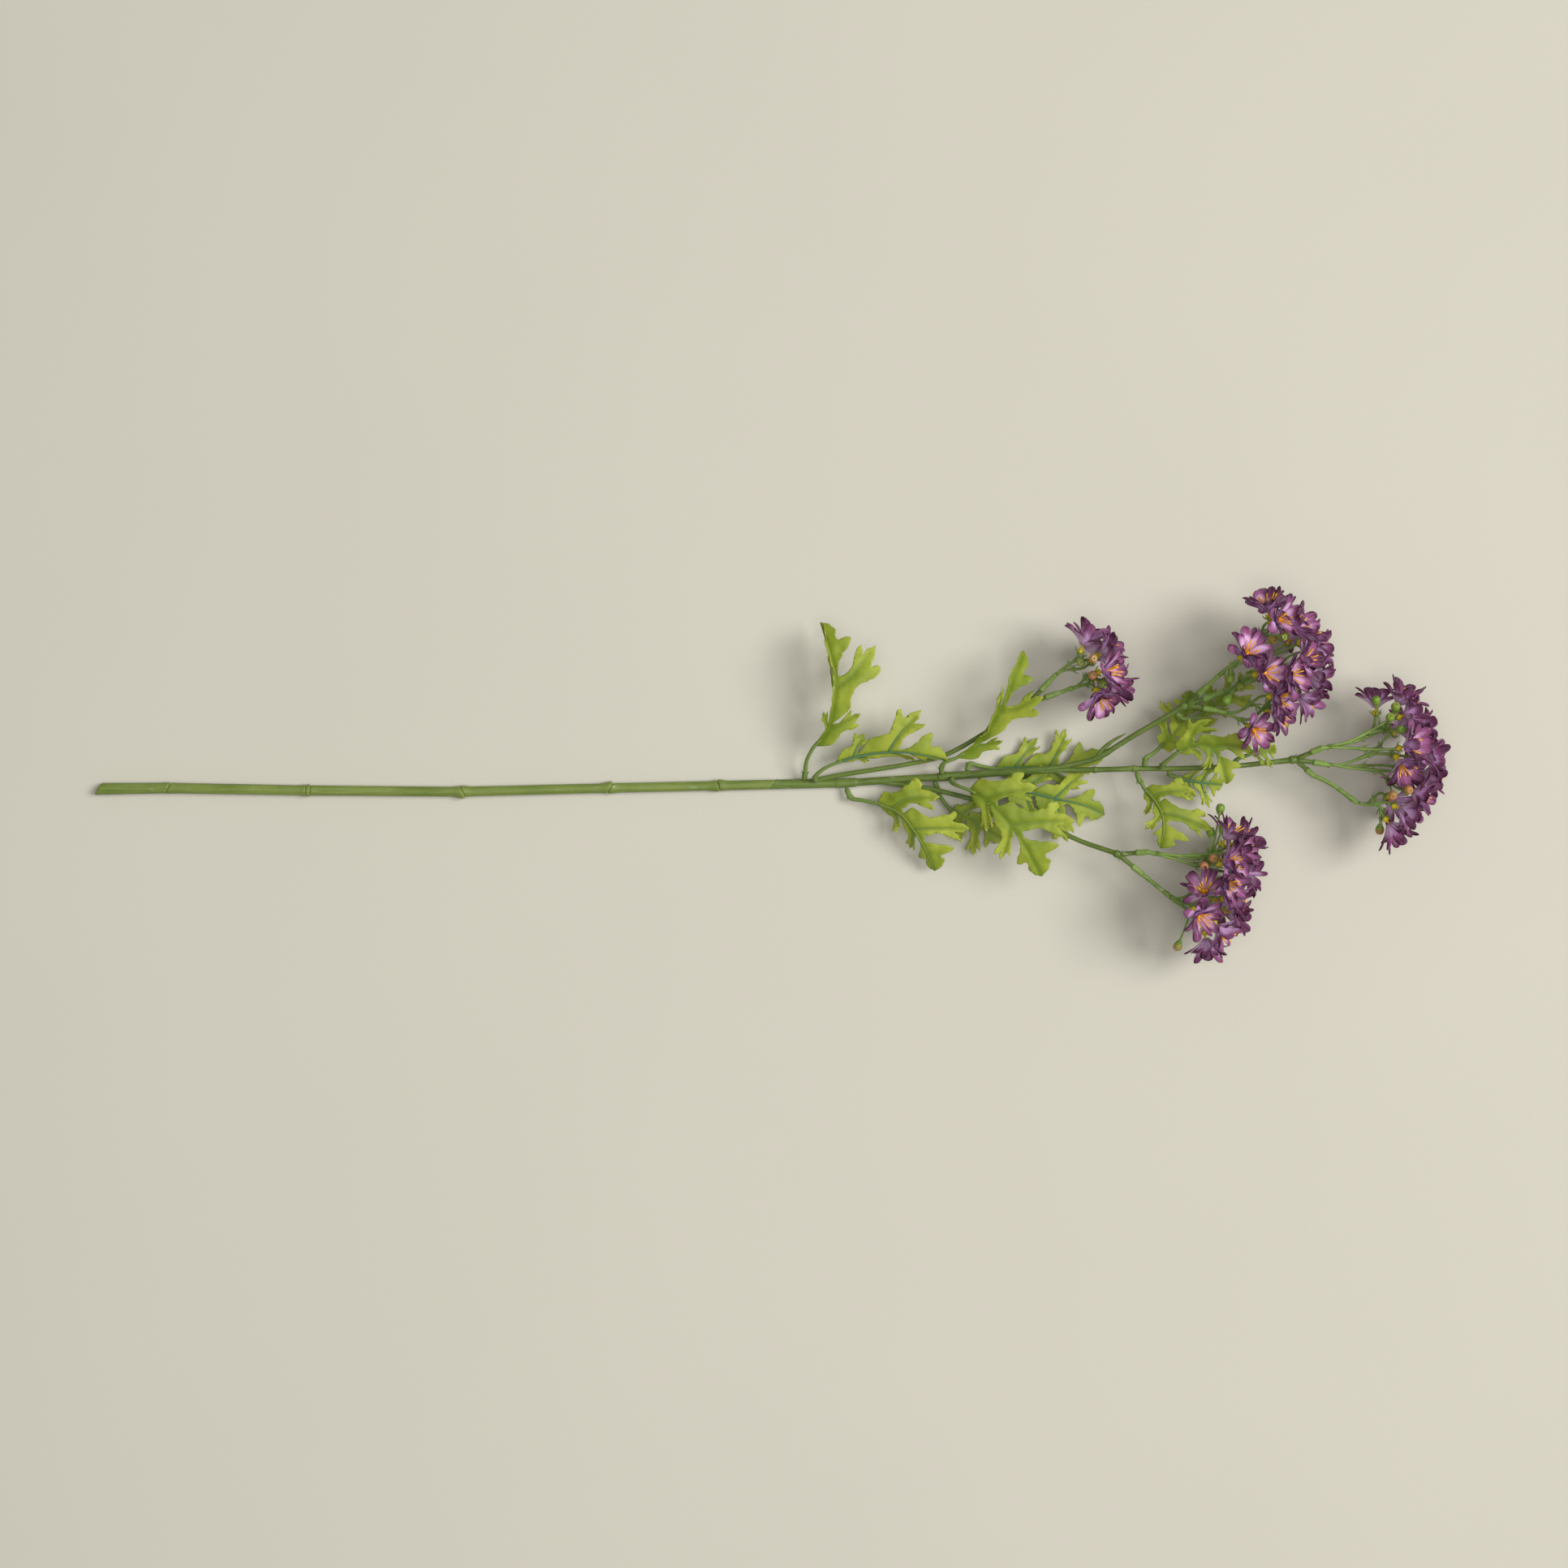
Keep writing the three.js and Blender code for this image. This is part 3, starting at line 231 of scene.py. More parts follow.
def spline(points, t):
    """A smooth line's point, t from 0 to 1 over its spans, through every given point."""
    spans = len(points) - 1
    place = min(max(t, 0.0), 1.0) * spans
    k = min(int(place), spans - 1)
    w = place - k
    p1, p2 = points[k], points[k + 1]
    p0 = points[k - 1] if k else 2 * p1 - p2
    p3 = points[k + 2] if k + 2 <= spans else 2 * p2 - p1
    d0, d1, d2 = (max((a - b).length, 1e-6) ** 0.5 for a, b in ((p0, p1), (p1, p2), (p2, p3)))
    m1 = ((p1 - p0) / d0 - (p2 - p0) / (d0 + d1) + (p2 - p1) / d1) * d1
    m2 = ((p2 - p1) / d1 - (p3 - p1) / (d1 + d2) + (p3 - p2) / d2) * d1
    a = 2 * p1 - 2 * p2 + m1 + m2
    b = -3 * p1 + 3 * p2 - 2 * m1 - m2
    return ((a * w + b) * w + m1) * w + p1


class Rib:
    """A smooth line read by its share of its length."""

    STEPS = 200

    def __init__(self, points):
        self.points = points
        samples = [spline(points, k / self.STEPS) for k in range(self.STEPS + 1)]
        self.reach = [0.0]
        for a, b in zip(samples, samples[1:]):
            self.reach.append(self.reach[-1] + (b - a).length)
        self.length = self.reach[-1]

    def at(self, share):
        want = min(max(share, 0.0), 1.0) * self.length
        k = min(max(bisect_left(self.reach, want) - 1, 0), self.STEPS - 1)
        span = self.reach[k + 1] - self.reach[k]
        return spline(self.points, (k + (want - self.reach[k]) / span) / self.STEPS)

    def along(self, share):
        share = min(max(share, 0.005), 0.995)
        return toward(self.at(share - 0.005), self.at(share + 0.005))


def bezier(p0, p1, p2, p3, t):
    s = 1 - t
    return s**3 * p0 + 3 * s * s * t * p1 + 3 * s * t * t * p2 + t**3 * p3


def standing(line):
    """Matrices that stand a ring across a line at each of its points, turned without twisting."""
    normal = Vector((0, 0, 1))
    last = len(line) - 1
    made = []
    for k, point in enumerate(line):
        along = toward(line[max(k - 1, 0)], line[min(k + 1, last)])
        normal = (normal - along * normal.dot(along)).normalized()
        turned = Matrix((normal, along.cross(normal), along)).transposed().to_4x4()
        made.append(Matrix.Translation(point) @ turned)
    return made


# ---------------------------------------------------------------- pieces


def tube(bm, line, radii, sides, flat=1.0):
    """Grows a closed tube along a line, ring by ring, and gives its vertices ring by ring."""
    places = [
        place @ Matrix.Diagonal((radius, radius * flat, 1, 1))
        for place, radius in zip(standing(line), radii)
    ]
    ring = bmesh.ops.create_circle(bm, cap_ends=True, segments=sides, radius=1, matrix=places[0])["verts"]
    edges = list({edge for vert in ring for edge in vert.link_edges})
    rings = [list(ring)]
    for before, now in zip(places, places[1:]):
        grown = bmesh.ops.extrude_edge_only(bm, edges=edges)["geom"]
        verts = [item for item in grown if isinstance(item, bmesh.types.BMVert)]
        fresh = set(verts)
        edges = [
            item
            for item in grown
            if isinstance(item, bmesh.types.BMEdge) and all(v in fresh for v in item.verts)
        ]
        bmesh.ops.transform(bm, matrix=now @ before.inverted(), verts=verts)
        rings.append(verts)
    bmesh.ops.contextual_create(bm, geom=edges)
    return rings


def routed(route, steps):
    """A route's smooth line and radii, with so many steps to each of its spans."""
    points = [at(row) for row in route]
    spans = len(route) - 1
    shares = [k / (spans * steps) for k in range(spans * steps + 1)]
    line = [spline(points, share) for share in shares]
    radii = []
    for share in shares:
        place = min(share * spans, spans - 1e-6)
        k = int(place)
        radii.append(lerp(route[k][3], route[k + 1][3], smooth(0, 1, place - k)))
    return line, radii


def paint(verts, layer, colour):
    for vert in verts:
        vert[layer] = (*colour, 1.0)


def new_piece(name, bm, material, nodes, wall=None):
    """Turns a mesh in millimetres into a finished piece that rides on the root body."""
    bmesh.ops.recalc_face_normals(bm, faces=bm.faces[:])
    bmesh.ops.scale(bm, vec=(MM, MM, MM), verts=bm.verts[:])
    mesh = bpy.data.meshes.new(name)
    bm.to_mesh(mesh)
    bm.free()
    mesh.shade_smooth()
    mesh.materials.append(material)
    piece = bpy.data.objects.new(name, mesh)
    bpy.context.scene.collection.objects.link(piece)
    if wall:
        modifier = piece.modifiers.new("wall", "SOLIDIFY")
        modifier.thickness = wall
        modifier.offset = 0
    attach(piece, "root")
    if nodes:
        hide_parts(*nodes)


# ---------------------------------------------------------------- shader helpers


def node(tree, kind, inputs=None, **settings):
    """A node with its settings, its inputs joined to sockets or set to values."""
    made = tree.nodes.new(kind)
    for key, value in settings.items():
        setattr(made, key, value)
    for key, value in (inputs or {}).items():
        if isinstance(value, bpy.types.NodeSocket):
            tree.links.new(value, made.inputs[key])
        else:
            made.inputs[key].default_value = value
    return made


def maths(tree, operation, *values):
    return node(tree, "ShaderNodeMath", dict(enumerate(values)), operation=operation).outputs[0]


def mixed(tree, factor, a, b):
    """A colour between a and b."""
    made = tree.nodes.new("ShaderNodeMix")
    made.data_type = "RGBA"
    for key, value in ((0, factor), (6, a), (7, b)):
        if isinstance(value, bpy.types.NodeSocket):
            tree.links.new(value, made.inputs[key])
        else:
            made.inputs[key].default_value = value if key == 0 else (*value[:3], 1)
    return made.outputs[2]


def ranged(tree, value, low, high, start=0.0, end=1.0):
    """A value from start to end as it goes from low to high, held there."""
    return node(
        tree,
        "ShaderNodeMapRange",
        {"Value": value, "From Min": low, "From Max": high, "To Min": start, "To Max": end},
        interpolation_type="SMOOTHSTEP",
    ).outputs[0]


def new_group(name, inputs, outputs):
    """An empty shader node group; inputs and outputs are (name, socket kind, default)."""
    tree = bpy.data.node_groups.new(name, "ShaderNodeTree")
    for label, kind, value in inputs:
        socket = tree.interface.new_socket(name=label, in_out="INPUT", socket_type=kind)
        socket.default_value = value
    for label, kind in outputs:
        tree.interface.new_socket(name=label, in_out="OUTPUT", socket_type=kind)
    return tree, tree.nodes.new("NodeGroupInput"), tree.nodes.new("NodeGroupOutput")


def placed(tree, name, **values):
    """A group's node in a material, with its own values."""
    inputs = {key.capitalize(): value for key, value in values.items()}
    return node(tree, "ShaderNodeGroup", inputs, node_tree=bpy.data.node_groups[name])


def mottle_group():
    """Broad soft changes of tone and fine grain, from the piece's own place."""
    tree, given, out = new_group(
        "mottle",
        [("Broad", "NodeSocketFloat", 60.0), ("Fine", "NodeSocketFloat", 900.0)],
        [("Tone", "NodeSocketFloat"), ("Grain", "NodeSocketFloat")],
    )
    place = tree.nodes.new("ShaderNodeTexCoord").outputs["Object"]
    broad, fine = (
        node(tree, "ShaderNodeTexNoise", {"Vector": place, "Scale": given.outputs[label], "Detail": detail})
        for label, detail in (("Broad", 3.0), ("Fine", 2.0))
    )
    tree.links.new(ranged(tree, broad.outputs[0], 0.3, 0.7), out.inputs["Tone"])
    tree.links.new(fine.outputs[0], out.inputs["Grain"])


def scores_group():
    """Fine scratches along X, as moulded stems have, and pale rub marks."""
    tree, given, out = new_group(
        "scores",
        [("Stretch", "NodeSocketFloat", 9.0), ("Scale", "NodeSocketFloat", 700.0)],
        [("Mask", "NodeSocketFloat"), ("Height", "NodeSocketFloat")],
    )
    place = tree.nodes.new("ShaderNodeTexCoord").outputs["Object"]
    parts = node(tree, "ShaderNodeSeparateXYZ", {0: place})
    squeezed = maths(tree, "DIVIDE", parts.outputs[0], given.outputs["Stretch"])
    stretched = node(
        tree, "ShaderNodeCombineXYZ", {0: squeezed, 1: parts.outputs[1], 2: parts.outputs[2]}
    )
    lines = node(
        tree,
        "ShaderNodeTexNoise",
        {"Vector": stretched.outputs[0], "Scale": given.outputs["Scale"], "Detail": 4.0, "Roughness": 0.65},
    )
    rubs = node(tree, "ShaderNodeTexNoise", {"Vector": place, "Scale": 130.0, "Detail": 5.0})
    spots = maths(
        tree,
        "MULTIPLY",
        ranged(tree, rubs.outputs[0], 0.58, 0.72),
        ranged(tree, lines.outputs[0], 0.5, 0.6),
    )
    tree.links.new(spots, out.inputs["Mask"])
    tree.links.new(lines.outputs[0], out.inputs["Height"])


def bump(tree, height, strength, distance, normal=None):
    inputs = {"Height": height, "Strength": strength, "Distance": distance}
    if normal:
        inputs["Normal"] = normal
    return node(tree, "ShaderNodeBump", inputs).outputs[0]


def new_material(name, roughness, **sockets):
    material = bpy.data.materials.new(name)
    material.use_nodes = True
    tree = material.node_tree
    shader = tree.nodes["Principled BSDF"]
    shader.inputs["Roughness"].default_value = roughness
    for key, value in sockets.items():
        shader.inputs[key.replace("_", " ")].default_value = value
    return material, tree, shader


def plastic(name, colour, deep, pale, roughness=0.45, stretch=9.0):
    """Moulded plastic: its colour drifts to a deeper one, with scratches along it and pale rubs."""
    material, tree, shader = new_material(name, roughness, IOR=1.46)
    mottle = placed(tree, "mottle", broad=45.0, fine=1500.0)
    scores = placed(tree, "scores", stretch=stretch)
    drift = mixed(tree, mottle.outputs["Tone"], deep, colour)
    grain = ranged(tree, scores.outputs["Height"], 0.38, 0.62)
    body = mixed(tree, maths(tree, "MULTIPLY", grain, 0.35), drift, [c * 1.25 for c in colour])
    specks = ranged(tree, mottle.outputs["Grain"], 0.56, 0.74, 0.0, 0.14)
    rubs = maths(tree, "MAXIMUM", specks, maths(tree, "MULTIPLY", scores.outputs["Mask"], 0.55))
    tree.links.new(mixed(tree, rubs, body, pale), shader.inputs["Base Color"])
    shader.inputs["Specular IOR Level"].default_value = 0.36
    rough = ranged(tree, scores.outputs["Height"], 0.3, 0.7, roughness - 0.08, roughness + 0.12)
    tree.links.new(rough, shader.inputs["Roughness"])
    grained = bump(tree, mottle.outputs["Grain"], 0.35, 0.0002)
    tree.links.new(bump(tree, scores.outputs["Height"], 0.5, 0.00025, grained), shader.inputs["Normal"])
    return material, tree, shader


def leaf_plastic(leaves):
    """Soft matt leaf plastic, lime towards the edges from painted light and deeper green by the veins from
    painted shade, with stalk green and blue ribs.
    """
    material, tree, shader = new_material("leaf_plastic", 0.5, IOR=1.45)
    chart = node(tree, "ShaderNodeAttribute", attribute_name="chart")
    across, veins = node(tree, "ShaderNodeSeparateXYZ", {0: chart.outputs["Vector"]}).outputs[1:]
    ink = node(tree, "ShaderNodeAttribute", attribute_name="paint")
    ribs, stalks = node(tree, "ShaderNodeSeparateXYZ", {0: ink.outputs["Vector"]}).outputs[:2]
    mottle = placed(tree, "mottle", broad=55.0, fine=420.0)
    # Painted light: towards the blade's edges the colour turns to the light leaf colour, on top of random
    # tone.
    lift = maths(tree, "MULTIPLY_ADD", mottle.outputs["Tone"], 0.5, maths(tree, "MULTIPLY", across, 0.55))
    body = mixed(tree, ranged(tree, lift, 0.1, 0.8), leaves.colour, leaves.light)
    # Painted shade: close to the veins, where the blade creases, the colour turns to the deeper leaf colour.
    near = maths(tree, "MULTIPLY", ranged(tree, veins, 1.8, 0.05), 0.55)
    shaded = mixed(tree, near, body, leaves.deep)
    grained = mixed(tree, ranged(tree, mottle.outputs["Grain"], 0.5, 0.75, 0.0, 0.22), shaded, leaves.deep)
    stalked = mixed(tree, stalks, grained, leaves.stalk)
    tree.links.new(mixed(tree, ribs, stalked, leaves.rib), shader.inputs["Base Color"])
    tree.links.new(bump(tree, mottle.outputs["Grain"], 0.35, 0.0004), shader.inputs["Normal"])
    tree.links.new(ranged(tree, mottle.outputs["Tone"], 0.0, 1.0, 0.44, 0.58), shader.inputs["Roughness"])
    shader.inputs["Specular IOR Level"].default_value = 0.28
    shader.inputs["Subsurface Weight"].default_value = 0.15
    shader.inputs["Subsurface Radius"].default_value = (0.6, 1.0, 0.2)
    shader.inputs["Subsurface Scale"].default_value = 0.001
    return material


def petal_cloth(florets):
    """Thin printed cloth: lilac at the base, dusky at the edges and tips, with soft streaks and a weave."""
    material, tree, shader = new_material("petal_cloth", 0.78)
    chart = node(tree, "ShaderNodeAttribute", attribute_name="chart")
    along, across, tone = node(tree, "ShaderNodeSeparateXYZ", {0: chart.outputs["Vector"]}).outputs
    mottle = placed(tree, "mottle", broad=140.0, fine=2600.0)
    side = maths(tree, "POWER", maths(tree, "ABSOLUTE", across), 2.0)
    fade = maths(tree, "ADD", maths(tree, "MULTIPLY", along, 0.8), maths(tree, "MULTIPLY", side, 0.16))
    drifted = maths(tree, "ADD", fade, maths(tree, "MULTIPLY", mottle.outputs["Tone"], 0.2))
    dusk = ranged(tree, maths(tree, "SUBTRACT", drifted, tone), 0.27, 1.04)
    middle = mixed(tree, ranged(tree, dusk, 0.0, 0.55), florets.base, florets.colour)
    body = mixed(tree, ranged(tree, dusk, 0.55, 1.0), middle, florets.dark)
    stretched = node(
        tree,
        "ShaderNodeCombineXYZ",
        {
            0: maths(tree, "MULTIPLY", along, 1.4),
            1: maths(tree, "MULTIPLY", across, 4.0),
            2: maths(tree, "MULTIPLY", tone, 90.0),
        },
    ).outputs[0]
    noise = node(tree, "ShaderNodeTexNoise", {"Vector": stretched, "Scale": 1.0, "Detail": 3.0})
    streaks = ranged(tree, noise.outputs[0], 0.35, 0.68)
    streaked = mixed(tree, maths(tree, "MULTIPLY", streaks, 0.2), body, florets.base)
    tree.links.new(streaked, shader.inputs["Base Color"])
    place = tree.nodes.new("ShaderNodeTexCoord").outputs["Object"]
    warp = node(tree, "ShaderNodeTexWave", {"Vector": place, "Scale": 650.0}, bands_direction="X").outputs[1]
    weft = node(tree, "ShaderNodeTexWave", {"Vector": place, "Scale": 650.0}, bands_direction="Y").outputs[1]
    normal = bump(tree, maths(tree, "MAXIMUM", warp, weft), 0.12, 0.0001)
    crease = maths(tree, "ADD", streaks, ranged(tree, side, 0.0, 0.05))
    tree.links.new(bump(tree, crease, 0.3, 0.00035, normal), shader.inputs["Normal"])
    shader.inputs["Specular IOR Level"].default_value = 0.06
    shader.inputs["Sheen Weight"].default_value = 0.01
    shader.inputs["Sheen Roughness"].default_value = 0.5
    return material


def pick_plastic(picks):
    """Pale green moulded plastic, with painted studs and tinted berries."""
    material, tree, shader = plastic("pick_plastic", picks.colour, picks.deep, picks.pale, 0.42, 3.0)
    body = shader.inputs["Base Color"].links[0].from_socket
    tint = node(tree, "ShaderNodeAttribute", attribute_name="paint")
    stud, berry, ripe = node(tree, "ShaderNodeSeparateXYZ", {0: tint.outputs["Vector"]}).outputs
    mottle = placed(tree, "mottle", broad=260.0, fine=1800.0)
    skin = mixed(tree, ripe, picks.berry, picks.ripe)
    blushed = mixed(tree, maths(tree, "MULTIPLY", mottle.outputs["Tone"], 0.45), skin, picks.deep)
    berries = mixed(tree, berry, body, blushed)
    studs = mixed(tree, stud, berries, picks.stud)
    tree.links.new(studs, shader.inputs["Base Color"])
    shine = maths(tree, "MULTIPLY_ADD", berry, -0.2, 0.45)
    tree.links.new(shine, shader.inputs["Roughness"])
    return material


# ---------------------------------------------------------------- settings


def length(name, description, default):
    return FloatProperty(
        name=name, description=description, default=default, unit="LENGTH", subtype="DISTANCE", precision=5
    )


def colour(name, description, default):
    return FloatVectorProperty(
        name=name, description=description, default=default, subtype="COLOR", size=3, min=0, max=1
    )


class StemSettings(bpy.types.PropertyGroup):
    colour: colour("Stem", "Main stem's colour", (0.2, 0.26, 0.06))
    deep: colour("Stem, deeper", "What the stem's colour drifts to", (0.14, 0.2, 0.036))
    branch: colour("Branch", "Branch and arms' colour", (0.14, 0.205, 0.04))
    branch_deep: colour("Branch, deeper", "What the branch's colour drifts to", (0.075, 0.12, 0.018))
    pale: colour("Rubs", "Pale rub marks", (0.5, 0.56, 0.38))
    flute_depth: length("Flute depth", "Depth of the long grooves in the stem", 0.00018)


class LeafSettings(bpy.types.PropertyGroup):
    colour: colour("Leaf", "Leaf colour", (0.2, 0.275, 0.022))
    # Light: painted light towards each blade's edge. Deeper: painted shade beside the veins, and also the
    # fine grain's colour.
    light: colour("Leaf, light", "Where the blade lifts and at its edge", (0.38, 0.44, 0.05))
    deep: colour("Leaf, deeper", "Beside the veins", (0.1, 0.17, 0.012))
    stalk: colour("Stalk", "Leaf stalks and collars", (0.17, 0.25, 0.06))
    rib: colour("Ribs", "Raised ribs on the leaves' backs", (0.1, 0.21, 0.1))
    wall: length("Thickness", "Blade thickness", 0.00045)
    facet: length("Facet", "Largest facet of a blade", 0.0011)
    pucker: length("Pucker", "How far the blade puffs between its veins", 0.0008)


class PickSettings(bpy.types.PropertyGroup):
    colour: colour("Pick", "Stalks and sleeves", (0.24, 0.34, 0.085))
    deep: colour("Pick, deeper", "What the stalks' colour drifts to", (0.13, 0.23, 0.04))
    pale: colour("Rubs", "Pale rub marks", (0.55, 0.6, 0.36))
    stud: colour("Studs", "Painted studs behind the florets", (0.72, 0.56, 0.02))
    berry: colour("Berries", "Unripe berries", (0.2, 0.33, 0.04))
    ripe: colour("Ripe berries", "Ripe berries", (0.58, 0.2, 0.1))


class FloretSettings(bpy.types.PropertyGroup):
    base: colour("Petal base", "Lilac at the petals' base", (0.74, 0.47, 0.78))
    colour: colour("Petal", "Petals' middle", (0.25, 0.062, 0.17))
    dark: colour("Petal tip", "Dusky purple of tips and edges", (0.05, 0.003, 0.018))
    stamen: colour("Stamens", "Stamens' colour", (0.95, 0.5, 0.025))
    petals: IntProperty(
        name="Petals", description="Petals in each of the two layers", default=7, min=3, max=9
    )
    half_width: length("Half width", "Half a petal's width", 0.0025)
    wall: length("Cloth", "Thickness of the cloth", 0.00022)


class StageSettings(bpy.types.PropertyGroup):
    surface: colour("Surface", "Surface that the stem lies on", (0.62, 0.6, 0.52))
    sky: FloatProperty(name="Fill", description="Strength of the light from all round", default=0.23)
    key: FloatProperty(name="Key", description="Power of the light at the right", default=205.0, unit="POWER")
    top: FloatProperty(name="Top", description="Power of the light overhead", default=15.0, unit="POWER")


# ---------------------------------------------------------------- stem and branch


class FLOWERSTEM_OT_finishes(bpy.types.Operator):
    """Builds the node groups that the finishes share"""

    bl_idname = "flowerstem.finishes"
    bl_label = "Shared finishes"

    def execute(self, context):
        mottle_group()
        scores_group()
        return {"FINISHED"}


class FLOWERSTEM_OT_stem(bpy.types.Operator):
    """Builds the main stem, with its joint rings, flutes and slanted cut, and finishes its wire"""

    bl_idname = "flowerstem.stem"
    bl_label = "Main stem"

    SIDES = 40

    def swell(self, u, side):
        """How far the stem stands out at u, less its grooves; side is 1 at the photograph's top."""
        total = 0.0
        for ring, before, after, lean, _, grooves in STEM_RINGS:
            gap = u - ring
            extra = before * (1 + lean * side) if gap < 0 else after * (1 - lean * side)
            total += extra * (1 - smooth(1.5, 13.0, abs(gap)))
            total -= sum(0.6 * math.exp(-((gap - place) ** 2)) for place in grooves)
        return total

    def relief(self, u, turn):
        """Flutes, the scored stretches and one long ledge, as a share of the flute depth."""
        flutes = math.cos(7 * turn + u * 0.004) + 0.6 * math.cos(13 * turn + 2 + u * 0.002)
        scored = smooth(384, 392, u) * (1 - smooth(440, 462, u))
        scores = -2.6 * scored * max(0.0, math.cos(6 * turn + 0.6)) ** 3
        ledge = smooth(772, 782, u) * (1 - smooth(868, 872, u))
        return 0.4 * flutes + scores + 1.9 * ledge * (smooth(-1.2, -1.0, turn) - smooth(-1.0, 1.4, turn))

    def execute(self, context):
        look = context.scene.flower_stem
        bm = bmesh.new()
        line, radii, places = [], [], []
        u = STEM[0][0] - 5
        while u < STEM[-1][0]:
            k = max(1, next(i for i, row in enumerate(STEM) if row[0] >= u))
            a, b = STEM[k - 1], STEM[k]
            t = (u - a[0]) / (b[0] - a[0])
            line.append(at((u, lerp(a[1], b[1], t), 3.0)))
            radii.append(lerp(a[3], b[3], t))
            places.append(u)
            near = min(abs(u - ring[0]) for ring in STEM_RINGS)
            u += 0.45 if near < 12 else 4.0
        line.append(at(STEM[-1]))
        radii.append(STEM[-1][3])
        places.append(STEM[-1][0])
        rings = tube(bm, line, radii, self.SIDES)
        depth = look.flute_depth / MM
        for u, middle, radius, ring in zip(places, line, radii, rings):
            slant = STEM_SEAM_SLANT * smooth(STEM[-1][0] - 12, STEM[-1][0], u)
            slant += sum(row[4] * (1 - smooth(3.0, 13.0, abs(u - row[0]))) for row in STEM_RINGS)
            for vert in ring:
                out = vert.co - middle
                turn = math.atan2(out.y, out.z)
                side = math.sin(turn)
                out *= 1 + (self.swell(u, side) + depth * self.relief(u, turn)) / radius
                vert.co = middle + out + Vector((slant * side, 0, 0))
                vert.co.z = max(vert.co.z, 0.0)
        tip = at(STEM[0])
        normal = Vector((1, -CUT_SLOPE, 0)).normalized()
        cut = bmesh.ops.bisect_plane(
            bm,
            geom=bm.verts[:] + bm.edges[:] + bm.faces[:],
            plane_co=tip,
            plane_no=-normal,
            clear_outer=True,
        )
        rim = [item for item in cut["geom_cut"] if isinstance(item, bmesh.types.BMEdge)]
        bmesh.ops.contextual_create(bm, geom=rim)
        material, _, _ = plastic("stem_plastic", look.colour, look.deep, look.pale, 0.42, 12.0)
        new_piece("stem_body", bm, material, ["main_stem"])
        wire, tree, shader = new_material("drawn_wire", 0.3, Metallic=1.0)
        scores = placed(tree, "scores", stretch=25.0, scale=1400.0)
        steel = mixed(tree, scores.outputs["Height"], (0.35, 0.35, 0.34), (0.6, 0.6, 0.58))
        tree.links.new(steel, shader.inputs["Base Color"])
        tree.links.new(bump(tree, scores.outputs["Height"], 0.3, 0.0001), shader.inputs["Normal"])
        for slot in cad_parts["stem_wire"].material_slots:
            slot.material = wire
        return {"FINISHED"}


class FLOWERSTEM_OT_branch(bpy.types.Operator):
    """Builds the branch: trunk, arms, their collars and nodes, nubs and prongs"""

    bl_idname = "flowerstem.branch"
    bl_label = "Branch"

    SIDES = 14

    def thorn(self, bm, base, out, reach):
        """A small pointed scale at a node."""
        line = [base, base + out * reach * 0.55, base + out * reach + Vector((0, 0, 0.3))]
        tube(bm, line, [0.9, 0.6, 0.12], 6, 0.6)

    def execute(self, context):
        look = context.scene.flower_stem
        bm = bmesh.new()
        for route in (TRUNK, ARM_A, ARM_B, ARM_D, SPUR):
            line, radii = routed(route, 4)
            rings = tube(bm, line, radii, self.SIDES)
            if route is TRUNK:
                for middle, radius, ring in list(zip(line, radii, rings))[:4]:
                    near = 1 - smooth(0, 20, (middle - line[0]).length)
                    for vert in ring:
                        vert.co.x += STEM_SEAM_SLANT * near * (vert.co.y - middle.y) / radius
        for _, seat_radius, _, _, _, way, _ in LEAVES:
            seat = at(way[0])
            out = toward(seat, at(way[1]))
            tube(bm, [seat, seat + out * (seat_radius + NUB_LENGTH)], [0.75, 0.75], 8)
        for _, _, picks in HEADS:
            for way, _, _ in picks:
                seat = at(way[0])
                out = toward(seat, at(way[1]))
                line = [seat + out * step for step in (0, 3, 6, 9, 14)]
                tube(bm, line, [1.25, 1.35, 1.2, 1.1, 0.95], 10)
        for route in (TRUNK, ARM_B, ARM_D, ARM_A):
            end = at(route[-2])
            along = toward(at(route[-3]), end)
            side = along.cross(Vector((0, 0, 1))).normalized()
            for turn in (0.4, 2.5, 4.6):
                out = (side * math.cos(turn) + side.cross(along) * math.sin(turn) + along * 0.9).normalized()
                self.thorn(bm, end + out * 1.0, out, 3.4)
        for vert in bm.verts:
            vert.co.z = max(vert.co.z, 0.88)
        material, _, _ = plastic("branch_plastic", look.branch, look.branch_deep, look.pale, 0.4, 8.0)
        new_piece("branch_body", bm, material, ["branch_frame"])
        return {"FINISHED"}


# ---------------------------------------------------------------- leaves

# Places on a blade are (along the rib, share of the half's width). Lobes: root, tip and half breadth,
# the smaller of a share of the width and a share of the rib. A lobe's edge goes from its near side round
# to its far side, as (share of the way out, share of the breadth).
WEB_SHARE = 0.14
LOBES = [(0.17, (0.36, 0.82), (0.26, 0.1)), (0.48, (0.68, 1.0), (0.31, 0.115))]
LOBE_EDGE = [
    (-0.02, -1.5), (0.12, -0.86), (0.2, -0.78), (0.26, -0.6), (0.42, -0.6), (0.55, -0.78), (0.6, -0.76),
    (0.68, -0.95), (0.86, -1.12), (0.9, -0.98), (0.86, -0.7), (0.76, -0.44), (0.84, -0.36), (0.94, -0.36),
    (1.06, -0.12), (1.13, 0.06), (1.03, 0.18), (0.96, 0.38), (0.88, 0.36), (0.77, 0.42), (0.86, 0.6),
    (0.88, 0.74), (0.98, 0.98), (0.86, 1.02), (0.7, 0.86), (0.62, 0.84), (0.5, 0.64), (0.34, 0.56),
    (0.22, 0.74), (0.12, 0.78), (0.0, 1.5),
]
